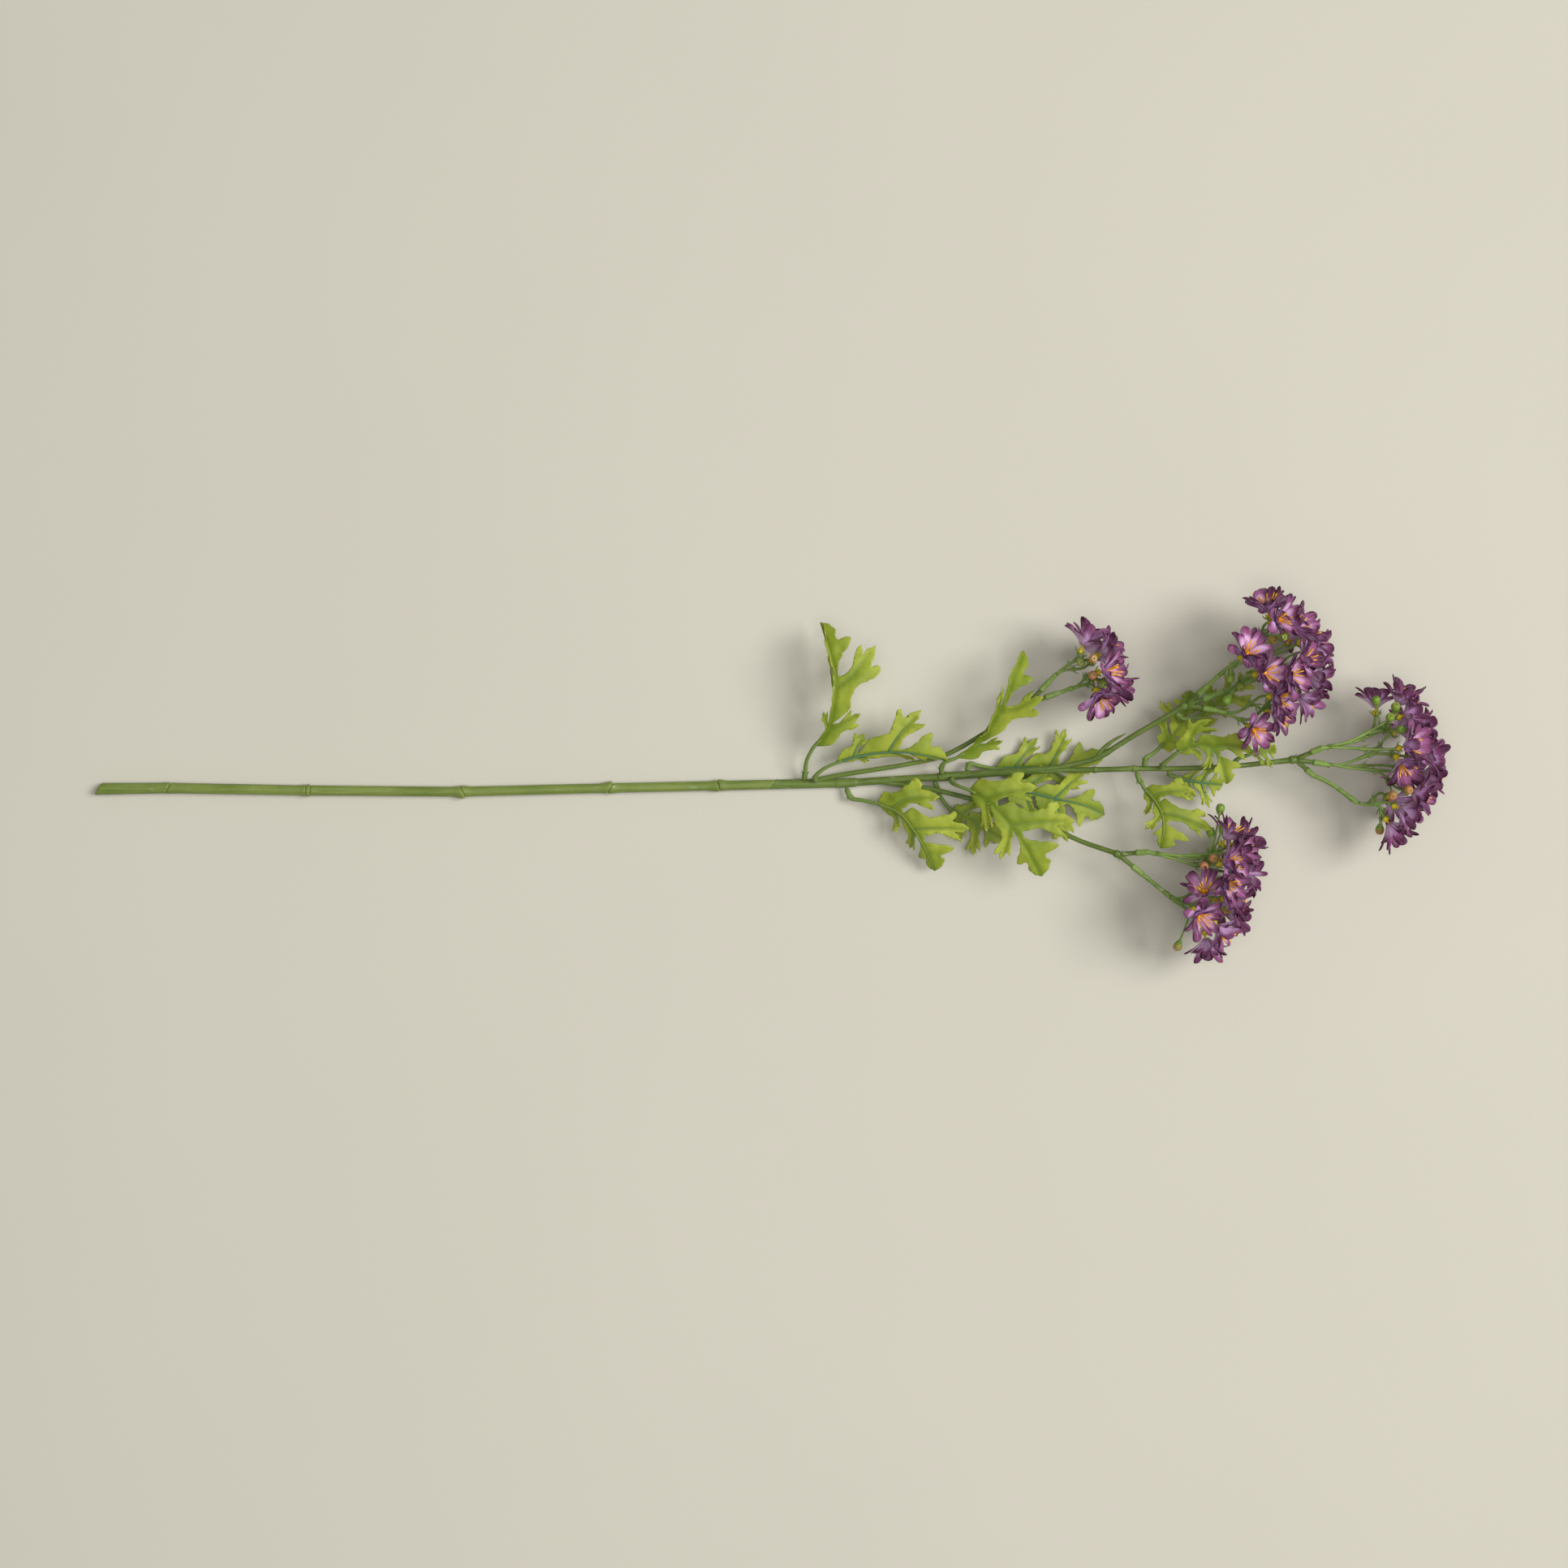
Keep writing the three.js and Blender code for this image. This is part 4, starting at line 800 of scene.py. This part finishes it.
CROWN = [
    (0.67, 0.15), (0.7, 0.27), (0.72, 0.29), (0.745, 0.46), (0.81, 0.62), (0.825, 0.5), (0.82, 0.28),
    (0.86, 0.25), (0.885, 0.31), (0.905, 0.31), (0.93, 0.24), (0.955, 0.21), (0.98, 0.09),
]
WAVE = (1.5, 9, 1.7, 2.1)
LOBE_CURL = 5.0
LOBE_TWIST = 4.0
TIP_CURL = 5.0

# How large the first pair of lobes is, on the leaves that taper long towards their stalk.
FIRST_LOBES = {"leaf_fork": 0.62, "leaf_arm_a": 0.7, "leaf_stem_upper": 0.75}


def lobes_of(leaf):
    """A leaf's two pairs of lobes, as in LOBES, with its own size of the first."""
    size = FIRST_LOBES.get(leaf[0], 1.0)
    (root, tip, breadth), second = LOBES
    first = (root, (lerp(root, tip[0], size), tip[1] * size), (breadth[0] * size, breadth[1] * size))
    return [first, second]


def lobe_point(lobe, spot, span, width):
    """A point of a lobe's edge as a place on the blade, for a rib and half width in millimetres."""
    root, tip, breadth = lobe
    axis = Vector(((tip[0] - root) * span, (tip[1] - WEB_SHARE) * width))
    across = Vector((axis.y, -axis.x)).normalized() * spot[1] * min(breadth[0] * width, breadth[1] * span)
    place = axis * spot[0] + across
    return root + place.x / span, WEB_SHARE + place.y / width


def rounded(points):
    """An open line with its corners cut."""
    cut = [points[0]]
    for a, b in zip(points, points[1:]):
        cut += [a.lerp(b, 0.16), a.lerp(b, 0.84)]
    return cut + [points[-1]]


def leaf_place(leaf, index, rib, x, y):
    """Where a flat spot of a blade goes, in millimetres, and which way its face looks there."""
    hand = 1 if y >= 0 else -1
    width, lift = leaf[2] if hand > 0 else leaf[3]
    t, share = x / rib.length, abs(y) / width
    inside = min(max(t, 0.0), 1.0)
    along = rib.along(inside)
    side = Vector((0, 0, 1)).cross(along).normalized()
    up = along.cross(side)
    slope = math.radians(lift)
    out = side * hand * math.cos(slope) + up * math.sin(slope)
    face = up * math.cos(slope) - side * hand * math.sin(slope)
    height, along_step, side_step, leaf_step = WAVE
    wave = height * share * share * math.sin(along_step * t + hand * side_step + index * leaf_step)
    for k, (root, tip, _) in enumerate(lobes_of(leaf)):
        axis = Vector(((tip[0] - root) * rib.length, tip[1] * width))
        here = Vector((x - root * rib.length, abs(y)))
        far = here.dot(axis) / axis.length_squared
        beside = (here.x * axis.y - here.y * axis.x) / axis.length / (0.3 * width)
        number = index * 9 + k * 2 + hand
        weight = smooth(0.25, 1.1, far) * math.exp(-((beside / 1.4) ** 2))
        wave += weight * (LOBE_CURL * draw(number, 7) + LOBE_TWIST * draw(number, 8) * beside)
    wave += TIP_CURL * draw(index, 9) * smooth(0.7, 1.0, t)
    wave += 0.3 * share * math.sin(0.9 * x + 0.6 * y + 3 * index)
    face = up.lerp(face, smooth(0.0, 1.2, abs(y))).normalized()
    return rib.at(inside) + along * (t - inside) * rib.length + out * share * width + face * wave, face


class FLOWERSTEM_OT_leaves(bpy.types.Operator):
    """Builds the leaves: lobed blades with raised ribs, their stalks and collars"""

    bl_idname = "flowerstem.leaves"
    bl_label = "Leaves"

    def outline(self, leaf, index, span):
        """The blade's flat edge in millimetres, (along, across), across to the left."""
        sides = []
        for hand, (width, _) in ((1, leaf[2]), (-1, leaf[3])):
            charts = []
            for k, lobe in enumerate(lobes_of(leaf)):
                for j, spot in enumerate(LOBE_EDGE):
                    n = index * 80 + k * 40 + j
                    moved = (spot[0] + 0.06 * draw(n, 3 + hand), spot[1] * (1 + 0.24 * draw(n, 5 + hand)))
                    charts.append(lobe_point(lobe, moved, span, width))
            charts += CROWN
            line = [Vector((t * span, max(share, 0.06) * width * hand)) for t, share in charts]
            sides.append(rounded([Vector((0, 0.05 * hand))] + line + [Vector((span, 0))]))
        return sides[0][:-1] + sides[1][::-1]

    def sheet(self, bm, edge, facet):
        """A flat sheet inside an edge, cut into facets, evenly along it and from the rib across it."""
        bm.faces.new([bm.verts.new((x, y, 0)) for x, y in edge])
        for axis in (0, 1):
            low = min(p[axis] for p in edge)
            high = max(p[axis] for p in edge)
            count = int((high - low) / facet)
            for k in range(1, count + 1):
                spot = [0.0, 0.0, 0.0]
                even = low + (high - low) * k / (count + 1)
                from_rib = round(low / facet) * facet + k * facet
                spot[axis] = (even, from_rib)[axis]
                normal = [0.0, 0.0, 0.0]
                normal[axis] = 1.0
                everything = bm.verts[:] + bm.edges[:] + bm.faces[:]
                bmesh.ops.bisect_plane(bm, geom=everything, plane_co=spot, plane_no=normal, dist=1e-5)
        bmesh.ops.triangulate(bm, faces=[face for face in bm.faces if len(face.verts) > 4])

    def blade(self, leaf, index, rib, look):
        """The blade, bent along its rib, lifted at each side, waved, and puffed between its veins."""
        bm = bmesh.new()
        chart = bm.verts.layers.float_vector.new("chart")
        ink = bm.verts.layers.float_color.new("paint")
        self.sheet(bm, self.outline(leaf, index, rib.length), look.facet / MM)
        for vert in bm.verts:
            x, y = vert.co.x, vert.co.y
            width = (leaf[2] if y >= 0 else leaf[3])[0]
            gap = abs(y)
            for root, tip, _ in lobes_of(leaf):
                a = Vector((root * rib.length, 0))
                b = Vector((tip[0] * rib.length, tip[1] * width * 0.93))
                here = Vector((x, abs(y)))
                s = min(max((here - a).dot(b - a) / (b - a).length_squared, 0), 1)
                gap = min(gap, (here - a.lerp(b, s)).length + 1.2 * max(s - 0.7, 0))
            spot, face = leaf_place(leaf, index, rib, x, y)
            swell = 0.2 * math.sin(0.62 * x - 0.4 * abs(y) + index)
            swell += 0.14 * math.sin(0.31 * x + 0.9 * y + 2 * index)
            puff = smooth(0.0, 2.4, gap) * (1 + swell)
            vert.co = spot + face * look.pucker / MM * (puff - 1)
            vert.co.z = max(vert.co.z, 0.4)
            vert[chart] = (x / 10, min(abs(y) / width, 1.0), gap)
        paint(bm.verts, ink, (0, 0, 0))
        return bm

    def cord(self, bm, layers, points, radii, colour, flat=1.0):
        """A tube of the stalk or of a raised rib, in its colour."""
        chart, ink = layers
        for ring in tube(bm, points, radii, 8, flat):
            paint(ring, ink, colour)
            for vert in ring:
                vert[chart] = (0, 0, 9)

    def rib_line(self, leaf, index, rib, look, spots, radii):
        """A rib's line and radii, partly sunk in the blade on the side that it is on."""
        line = []
        for (x, y), radius in zip(spots, radii):
            spot, face = leaf_place(leaf, index, rib, x, y)
            line.append(spot + face * ((radius - 0.1) * leaf[4] - look.pucker / MM))
        return line, radii

    def execute(self, context):
        look = context.scene.flower_leaves
        material = leaf_plastic(look)
        for index, leaf in enumerate(LEAVES):
            name, seat_radius, left, right, _, way, line = leaf
            rib = Rib([at(row) for row in line])
            blade = self.blade(leaf, index, rib, look)
            new_piece(name + "_blade", blade, material, [name], look.wall)
            bm = bmesh.new()
            layers = bm.verts.layers.float_vector.new("chart"), bm.verts.layers.float_color.new("paint")
            stalk, green = (0, 1, 0), (1, 0, 0) if name in BLUE_RIBS else (0, 0.7, 0)
            seat = at(way[0])
            out = toward(seat, at(way[1]))
            start = seat + out * (seat_radius + COLLAR_STANDOFF)
            end = seat + out * (seat_radius + NUB_LENGTH)
            collar = [start, start + out * 0.5, end - out * 1.0, end + out * 0.5, end + out * 1.6]
            self.cord(bm, layers, collar, [1.1, 1.35, 1.4, 1.3, 0.9], stalk)
            aside = out.cross(Vector((0, 0, 1))).normalized()
            for hand in (1, -1):
                ear = [
                    end + aside * hand * 0.7,
                    end + (aside * hand + out) * 1.5,
                    end + aside * hand * 2.0 + out * 2.9,
                ]
                self.cord(bm, layers, ear, [0.6, 0.5, 0.1], stalk, 0.6)
            knots = [end + out * 0.6, end + out * 2.2, at(way[2]), rib.at(0.0), rib.at(0.07)]
            shares = [k / 16 for k in range(17)]
            line = [spline(knots, share) for share in shares]
            self.cord(bm, layers, line, [lerp(1.2, 0.85, share) for share in shares], stalk)
            spots = [(lerp(0.02, 0.95, k / 24) * rib.length, 0.0) for k in range(25)]
            radii = [lerp(0.85, 0.25, k / 24) for k in range(25)]
            self.cord(bm, layers, *self.rib_line(leaf, index, rib, look, spots, radii), green)
            for hand, (width, _) in ((1, left), (-1, right)):
                for root, tip, _ in lobes_of(leaf):
                    shares = [k / 10 * 0.85 for k in range(11)]
                    spots = [
                        (lerp(root, tip[0], k) * rib.length, hand * lerp(0.0, tip[1] * width, k))
                        for k in shares
                    ]
                    radii = [lerp(0.5, 0.14, k) for k in shares]
                    self.cord(bm, layers, *self.rib_line(leaf, index, rib, look, spots, radii), green)
            for vert in bm.verts:
                vert.co.z = max(vert.co.z, 0.4)
            new_piece(name + "_ribs", bm, material, [name])
        return {"FINISHED"}


# ---------------------------------------------------------------- picks and florets


def floret_frame(row, number):
    """A floret's base, axes, size and spin."""
    u, v, z, heading, rise = row
    turn, up = math.radians(heading), math.radians(rise)
    axis = Vector((math.cos(up) * math.cos(turn), math.cos(up) * math.sin(turn), math.sin(up)))
    seed = Vector((0, 0, 1)) if abs(axis.z) < 0.9 else Vector((1, 0, 0))
    right = seed.cross(axis).normalized()
    return {
        "base": at((u, v, z)),
        "axis": axis,
        "right": right,
        "up": axis.cross(right),
        "size": 1 + 0.16 * draw(number, 1),
        "spin": 2 * math.pi * draw(number, 2),
        "number": number,
    }


def numbered(head):
    """A head's picks as (way, florets with their frames, berries)."""
    _, seed, picks = head
    number = seed * DRAWS_PER_SEED
    made = []
    for way, florets, berries in picks:
        frames = [floret_frame(row, number + k) for k, row in enumerate(florets)]
        number += len(florets)
        made.append((way, frames, berries))
    return made


class FLOWERSTEM_OT_picks(bpy.types.Operator):
    """Builds the moulded picks: sleeves, stalks, studs, sepals and berries"""

    bl_idname = "flowerstem.picks"
    bl_label = "Picks"

    GREEN = (0, 0, 0)
    STUD = (1, 0, 0)

    def stalk(self, bm, ink, start, along, floret):
        base, axis = floret["base"], floret["axis"]
        reach = (base - start).length
        knots = (start, start + along * reach * 0.35, base - axis * (reach * 0.3 + 4), base - axis * 4.5)
        line = [bezier(*knots, k / 12) for k in range(13)]
        radii = [0.8] * 5 + [0.95, 1.25, 0.95] + [0.75] * 5
        profile = [
            (-3.8, 0.85), (-3.3, 1.25), (-2.7, 1.95), (-2.0, 2.1), (-1.3, 1.75), (-0.7, 1.1), (-0.3, 0.6),
            (2.4, 0.45),
        ]
        line += [base + axis * d for d, _ in profile]
        radii += [r for _, r in profile]
        rings = tube(bm, line, radii, 8, 0.9)
        for ring in rings[:15]:
            paint(ring, ink, self.GREEN)
        for ring in rings[15:]:
            paint(ring, ink, self.STUD)
        for k in range(5):
            turn = 2 * math.pi * (k / 5 + draw(floret["number"], 50 + k) * 0.1)
            out = floret["right"] * math.cos(turn) + floret["up"] * math.sin(turn)
            root = base - axis * 3.4 + out * 0.8
            tip = base - axis * (0.4 + draw(floret["number"], 60 + k)) + out * 3.3
            middle = root.lerp(tip, 0.5) + out * 0.5
            for ring in tube(bm, [root, middle, tip], [0.5, 0.75, 0.12], 6, 0.45):
                paint(ring, ink, self.GREEN)
        heading = toward(line[5], line[7])
        for hand in (1, -1):
            aside = heading.cross(floret["up"]).normalized() * hand
            bract = [
                line[6] + aside * 0.5,
                line[6] + aside * 1.7 + heading * 1.0,
                line[6] + aside * 2.6 + heading * 3.2,
            ]
            for ring in tube(bm, bract, [0.4, 0.95, 0.12], 6, 0.4):
                paint(ring, ink, self.GREEN)
        return line[6], line[0]

    def berry(self, bm, ink, start, place):
        centre = at(place)
        out = toward(start, centre)
        middle = start.lerp(centre, 0.5) + Vector((0, 0, 0.6))
        line = [spline([start, middle, centre - out * BERRY_RADIUS], k / 6) for k in range(7)]
        cap = [centre - out * step for step in (3.5, 3.0, 2.2)]
        rings = tube(bm, line, [0.9, 0.5, 0.5, 0.5, 0.5, 0.5, 0.6], 8)
        rings += tube(bm, cap, [0.5, 1.2, 1.6], 10)
        for ring in rings:
            paint(ring, ink, self.GREEN)
        heading = toward(line[0], line[2])
        for k in range(3):
            turn = 2 * math.pi * (k / 3 + draw(place[0], k))
            side = heading.orthogonal().normalized()
            aside = side * math.cos(turn) + heading.cross(side) * math.sin(turn)
            bract = [line[0], line[0] + aside * 1.6 + heading * 1.4, line[0] + aside * 3.0 + heading * 4.6]
            for ring in tube(bm, bract, [0.5, 1.3, 0.15], 6, 0.35):
                paint(ring, ink, self.GREEN)
        turned = Matrix.Translation(centre) @ out.to_track_quat("Z", "Y").to_matrix().to_4x4()
        shaped = turned @ Matrix.Diagonal((0.92, 0.92, 1.12, 1))
        ball = bmesh.ops.create_uvsphere(
            bm, u_segments=18, v_segments=12, radius=BERRY_RADIUS, matrix=shaped
        )["verts"]
        for vert in ball:
            share = (vert.co - centre).dot(out) / BERRY_RADIUS
            if share > 0.9:
                vert.co -= out * (share - 0.9) * 4.0
            ripe = place[3] * smooth(-0.9, 0.1, share)
            vert[ink] = (0, 1, ripe, 1)
        tip = centre + out * BERRY_RADIUS * 0.8
        for ring in tube(bm, [tip, tip + out * 0.35, tip + out * 0.6], [0.45, 0.35, 0.1], 6):
            paint(ring, ink, (0, 1, 0))

    def execute(self, context):
        look = context.scene.flower_picks
        material = pick_plastic(look)
        for head in HEADS:
            for index, (way, florets, berries) in enumerate(numbered(head)):
                bm = bmesh.new()
                ink = bm.verts.layers.float_color.new("paint")
                seat = at(way[0])
                out = toward(seat, at(way[1]))
                start = seat + out * SLEEVE_START
                fork = at(way[-1])
                sleeve = [start + out * step for step in (0, 0.3, 1.2, 1.4, 3.5, 6.2, SLEEVE_LENGTH)]
                paint_rings = tube(bm, sleeve, [1.4, 1.65, 1.7, 1.6, 1.5, 1.45, 1.3], 12)
                points = [start + out * 6] + [
                    at(row) for row in way[1:-1] if (at(row) - start).length > SLEEVE_LENGTH + 2
                ]
                knots = points + [fork]
                line = [spline(knots, k / 10) for k in range(11)]
                radii = [1.3] * 8 + [1.45, 1.8, 1.2]
                paint_rings += tube(bm, line, radii, 12, 0.85)
                for ring in paint_rings:
                    paint(ring, ink, self.GREEN)
                along = toward(points[-1], fork)
                middles = []
                for k, floret in enumerate(florets):
                    if k % 2:
                        root, heading = before_middle, toward(before_start, before_middle)
                    else:
                        lean = toward(fork, floret["base"])
                        aside = (lean - along * lean.dot(along)).normalized()
                        root, heading = fork + aside * 0.9, along
                    before_middle, before_start = self.stalk(bm, ink, root, heading, floret)
                    middles.append(before_middle)
                for place in berries:
                    nearest = min(middles, key=lambda point: (point - at(place)).length)
                    self.berry(bm, ink, nearest, place)
                for vert in bm.verts:
                    vert.co.z = max(vert.co.z, 0.3)
                node_name = f"pick_{head[0]}_{index + 1}"
                new_piece(node_name + "_body", bm, material, [node_name])
        return {"FINISHED"}


# A petal's middle line in each layer, as (out from the axis, along the axis) in millimetres.
LAYER_LINES = [
    ((1.3, 0.9), (4.7, 4.5), (8.4, 6.8), (12.3, 7.4)),
    ((1.1, 1.2), (2.8, 5.2), (5.8, 8.6), (9.0, 11.8)),
]
PETAL_COLUMNS = 4
PETAL_ROWS = 8

# A head lies on its lowest florets: how much longer their downward petals are, and the heights in
# millimetres of a floret's base between which that fades out.
LOW_REACH = 0.34
LOW_FLORETS = (17.5, 25.0)


class FLOWERSTEM_OT_petals(bpy.types.Operator):
    """Builds the cloth florets, two layers of petals each"""

    bl_idname = "flowerstem.petals"
    bl_label = "Petals"

    def petal(self, bm, chart, floret, layer, k, look):
        n = floret["number"]
        code = layer * 10 + k
        count = look.petals
        turn = floret["spin"] + 2 * math.pi * (k + 0.5 * layer + 0.3 * draw(n, 10 + code)) / count
        raised = 3.4 * draw(n, 30 + code)
        out = floret["right"] * math.cos(turn) + floret["up"] * math.sin(turn)
        low = max(-out.z, 0.0) * (1 - smooth(*LOW_FLORETS, floret["base"].z))
        reach = 1 + 0.2 * draw(n, 110 + code) + LOW_REACH * low
        knots = [Vector(spot) for spot in LAYER_LINES[layer]]
        knots[3] += Vector((-0.5 * raised, raised))
        knots[2] += Vector((-0.3 * raised, 0.5 * raised))
        curl = 5.0 * draw(n, 130 + code)
        bend = 3.0 * draw(n, 150 + code)
        cup = 0.55 + 1.1 * draw(n, 170 + code)
        twist = 0.9 * draw(n, 190 + code)
        slim = 0.5 if draw(n, 210 + code) > 0.34 else 1.0
        width = look.half_width / MM * slim * (1 + 0.24 * draw(n, 230 + code))
        tone = 0.25 * draw(n, 250 + code) + 0.04
        side = floret["axis"].cross(out)
        made = bmesh.ops.create_grid(bm, x_segments=PETAL_COLUMNS, y_segments=PETAL_ROWS, size=0.5)["verts"]
        for vert in made:
            s, c = 1 - (0.5 - vert.co.y) ** 1.45, vert.co.x * 2
            r, z = bezier(*knots, s)
            ahead, behind = bezier(*knots, min(s + 0.02, 1)), bezier(*knots, max(s - 0.02, 0))
            tangent = (ahead - behind).normalized()
            normal = Vector((-tangent.y, tangent.x))
            tip = max(0.0, (s - 0.72) / 0.28)
            shape = (0.38 + 0.62 * smooth(0.05, 0.62, s)) * max(1 - tip**2.5, 0.0) ** 0.5 + 0.02
            across = c * width * shape
            lift = cup * (c * c - 0.3) * shape + curl * max(s - 0.6, 0) ** 2 * 3 + twist * s * across
            lift += 0.22 * math.cos(c * 5.0) * shape
            spot = Vector((r, z)) * reach ** smooth(0.3, 1.0, s) + normal * lift
            sway = bend * s * s
            size = floret["size"]
            vert.co = (
                floret["base"]
                + out * spot.x * size
                + floret["axis"] * spot.y * size
                + side * (across + sway) * size
            )
            vert[chart] = (s, c, tone)

    def execute(self, context):
        look = context.scene.flower_florets
        material = petal_cloth(look)
        for head in HEADS:
            bm = bmesh.new()
            chart = bm.verts.layers.float_vector.new("chart")
            for _, florets, _ in numbered(head):
                for floret in florets:
                    for layer in (0, 1):
                        for k in range(look.petals):
                            self.petal(bm, chart, floret, layer, k, look)
            for vert in bm.verts:
                vert.co.z = max(vert.co.z, 0.2)
            name = "petals_" + head[0]
            new_piece(name + "_cloth", bm, material, [name], look.wall)
        return {"FINISHED"}


class FLOWERSTEM_OT_stamens(bpy.types.Operator):
    """Builds the stamens at the florets' middles"""

    bl_idname = "flowerstem.stamens"
    bl_label = "Stamens"

    def execute(self, context):
        look = context.scene.flower_florets
        material, _, _ = plastic(
            "stamen_plastic", look.stamen, [c * 0.75 for c in look.stamen], (0.95, 0.6, 0.1), 0.45, 2.0
        )
        for head in HEADS:
            bm = bmesh.new()
            for _, florets, _ in numbered(head):
                for floret in florets:
                    n = floret["number"]
                    foot = [floret["base"] + floret["axis"] * d for d in (0.7, 1.5, 3.0, 4.6)]
                    tube(bm, foot, [0.8, 1.4, 1.25, 0.6], 8)
                    for k in range(7):
                        turn = 2 * math.pi * (k / 7 + 0.12 * draw(n, 300 + k))
                        out = floret["right"] * math.cos(turn) + floret["up"] * math.sin(turn)
                        tall = 9.6 + 3.4 * draw(n, 320 + k)
                        lean = 3.8 + 3.0 * draw(n, 340 + k)
                        base = floret["base"] + floret["axis"] * 1.0 + out * 0.7
                        tip = floret["base"] + floret["axis"] * tall + out * lean
                        middle = base.lerp(tip, 0.5) - out * 0.5
                        line = [spline([base, middle, tip], s) for s in (0, 0.35, 0.7, 0.88, 1)]
                        tube(bm, line, [0.65, 0.65, 0.7, 0.95, 0.35], 6, 0.4)
            new_piece(f"stamens_{head[0]}", bm, material, [])
        return {"FINISHED"}


# ---------------------------------------------------------------- stage


class FLOWERSTEM_OT_stage(bpy.types.Operator):
    """Builds the pale surface, the soft lights and the camera above"""

    bl_idname = "flowerstem.stage"
    bl_label = "Stage"

    def area(self, name, place, aim, size, power, tint):
        light = bpy.data.lights.new(name, "AREA")
        light.shape = "RECTANGLE"
        light.size, light.size_y = size
        light.energy = power
        light.color = tint
        lamp = bpy.data.objects.new(name, light)
        lamp.location = place
        lamp.rotation_euler = (Vector(aim) - Vector(place)).to_track_quat("-Z", "Y").to_euler()
        bpy.context.scene.collection.objects.link(lamp)

    def execute(self, context):
        look = context.scene.flower_stage
        bm = bmesh.new()
        bmesh.ops.create_grid(bm, x_segments=8, y_segments=8, size=15.0)
        mesh = bpy.data.meshes.new("surface")
        bm.to_mesh(mesh)
        bm.free()
        surface = bpy.data.objects.new("surface", mesh)
        context.scene.collection.objects.link(surface)
        material, tree, shader = new_material("surface_paper", 0.85)
        mottle = placed(tree, "mottle", broad=5.0, fine=500.0)
        tone = maths(tree, "MULTIPLY", mottle.outputs["Tone"], 0.35)
        drift = mixed(tree, tone, look.surface, [c * 0.965 for c in look.surface])
        tree.links.new(drift, shader.inputs["Base Color"])
        tree.links.new(bump(tree, mottle.outputs["Grain"], 0.12, 0.0003), shader.inputs["Normal"])
        mesh.materials.append(material)
        world = bpy.data.worlds.new("soft_room")
        world.use_nodes = True
        background = world.node_tree.nodes["Background"]
        background.inputs["Color"].default_value = (1.0, 0.97, 0.9, 1)
        background.inputs["Strength"].default_value = look.sky
        context.scene.world = world
        self.area("key", (3.3, 0.55, 3.9), (0.05, 0, 0), (2.5, 2.5), look.key, (1.0, 0.985, 0.96))
        self.area("top", (0.1, -0.15, 2.2), (0.1, -0.05, 0), (1.2, 1.2), look.top, (1.0, 0.99, 0.97))
        camera = bpy.data.cameras.new("above")
        camera.sensor_width = SENSOR_WIDTH
        camera.lens = SENSOR_WIDTH * EYE_HEIGHT / (PHOTO_SIZE * MM_PER_PIXEL)
        camera.clip_start = 0.05
        eye = bpy.data.objects.new("above", camera)
        eye.location = (ORIGIN[0] * MM, ORIGIN[1] * MM, EYE_HEIGHT * MM)
        context.scene.collection.objects.link(eye)
        context.scene.camera = eye
        context.scene.view_settings.view_transform = "Standard"
        return {"FINISHED"}


# ---------------------------------------------------------------- add-on


class FLOWERSTEM_PT_panel(bpy.types.Panel):
    """Lists the flower stem's pieces and their settings"""

    bl_idname = "FLOWERSTEM_PT_panel"
    bl_label = "Flower Stem"
    bl_space_type = "VIEW_3D"
    bl_region_type = "UI"
    bl_category = "Flower Stem"

    def draw(self, context):
        for operator in OPERATORS:
            self.layout.operator(operator.bl_idname)
        for key, _ in SETTINGS:
            box = self.layout.box()
            group = getattr(context.scene, key)
            for name in group.__annotations__:
                box.prop(group, name)


SETTINGS = [
    ("flower_stem", StemSettings),
    ("flower_leaves", LeafSettings),
    ("flower_picks", PickSettings),
    ("flower_florets", FloretSettings),
    ("flower_stage", StageSettings),
]
OPERATORS = [
    FLOWERSTEM_OT_finishes,
    FLOWERSTEM_OT_stem,
    FLOWERSTEM_OT_branch,
    FLOWERSTEM_OT_leaves,
    FLOWERSTEM_OT_picks,
    FLOWERSTEM_OT_petals,
    FLOWERSTEM_OT_stamens,
    FLOWERSTEM_OT_stage,
]


def register():
    for key, group in SETTINGS:
        bpy.utils.register_class(group)
        setattr(bpy.types.Scene, key, PointerProperty(type=group))
    for entry in [*OPERATORS, FLOWERSTEM_PT_panel]:
        bpy.utils.register_class(entry)


def unregister():
    for entry in [FLOWERSTEM_PT_panel, *reversed(OPERATORS)]:
        bpy.utils.unregister_class(entry)
    for key, group in reversed(SETTINGS):
        delattr(bpy.types.Scene, key)
        bpy.utils.unregister_class(group)


def main():
    register()
    for step in ("finishes", "stem", "branch", "leaves", "picks", "petals", "stamens", "stage"):
        getattr(bpy.ops.flowerstem, step)()


if __name__ == "__main__":
    main()
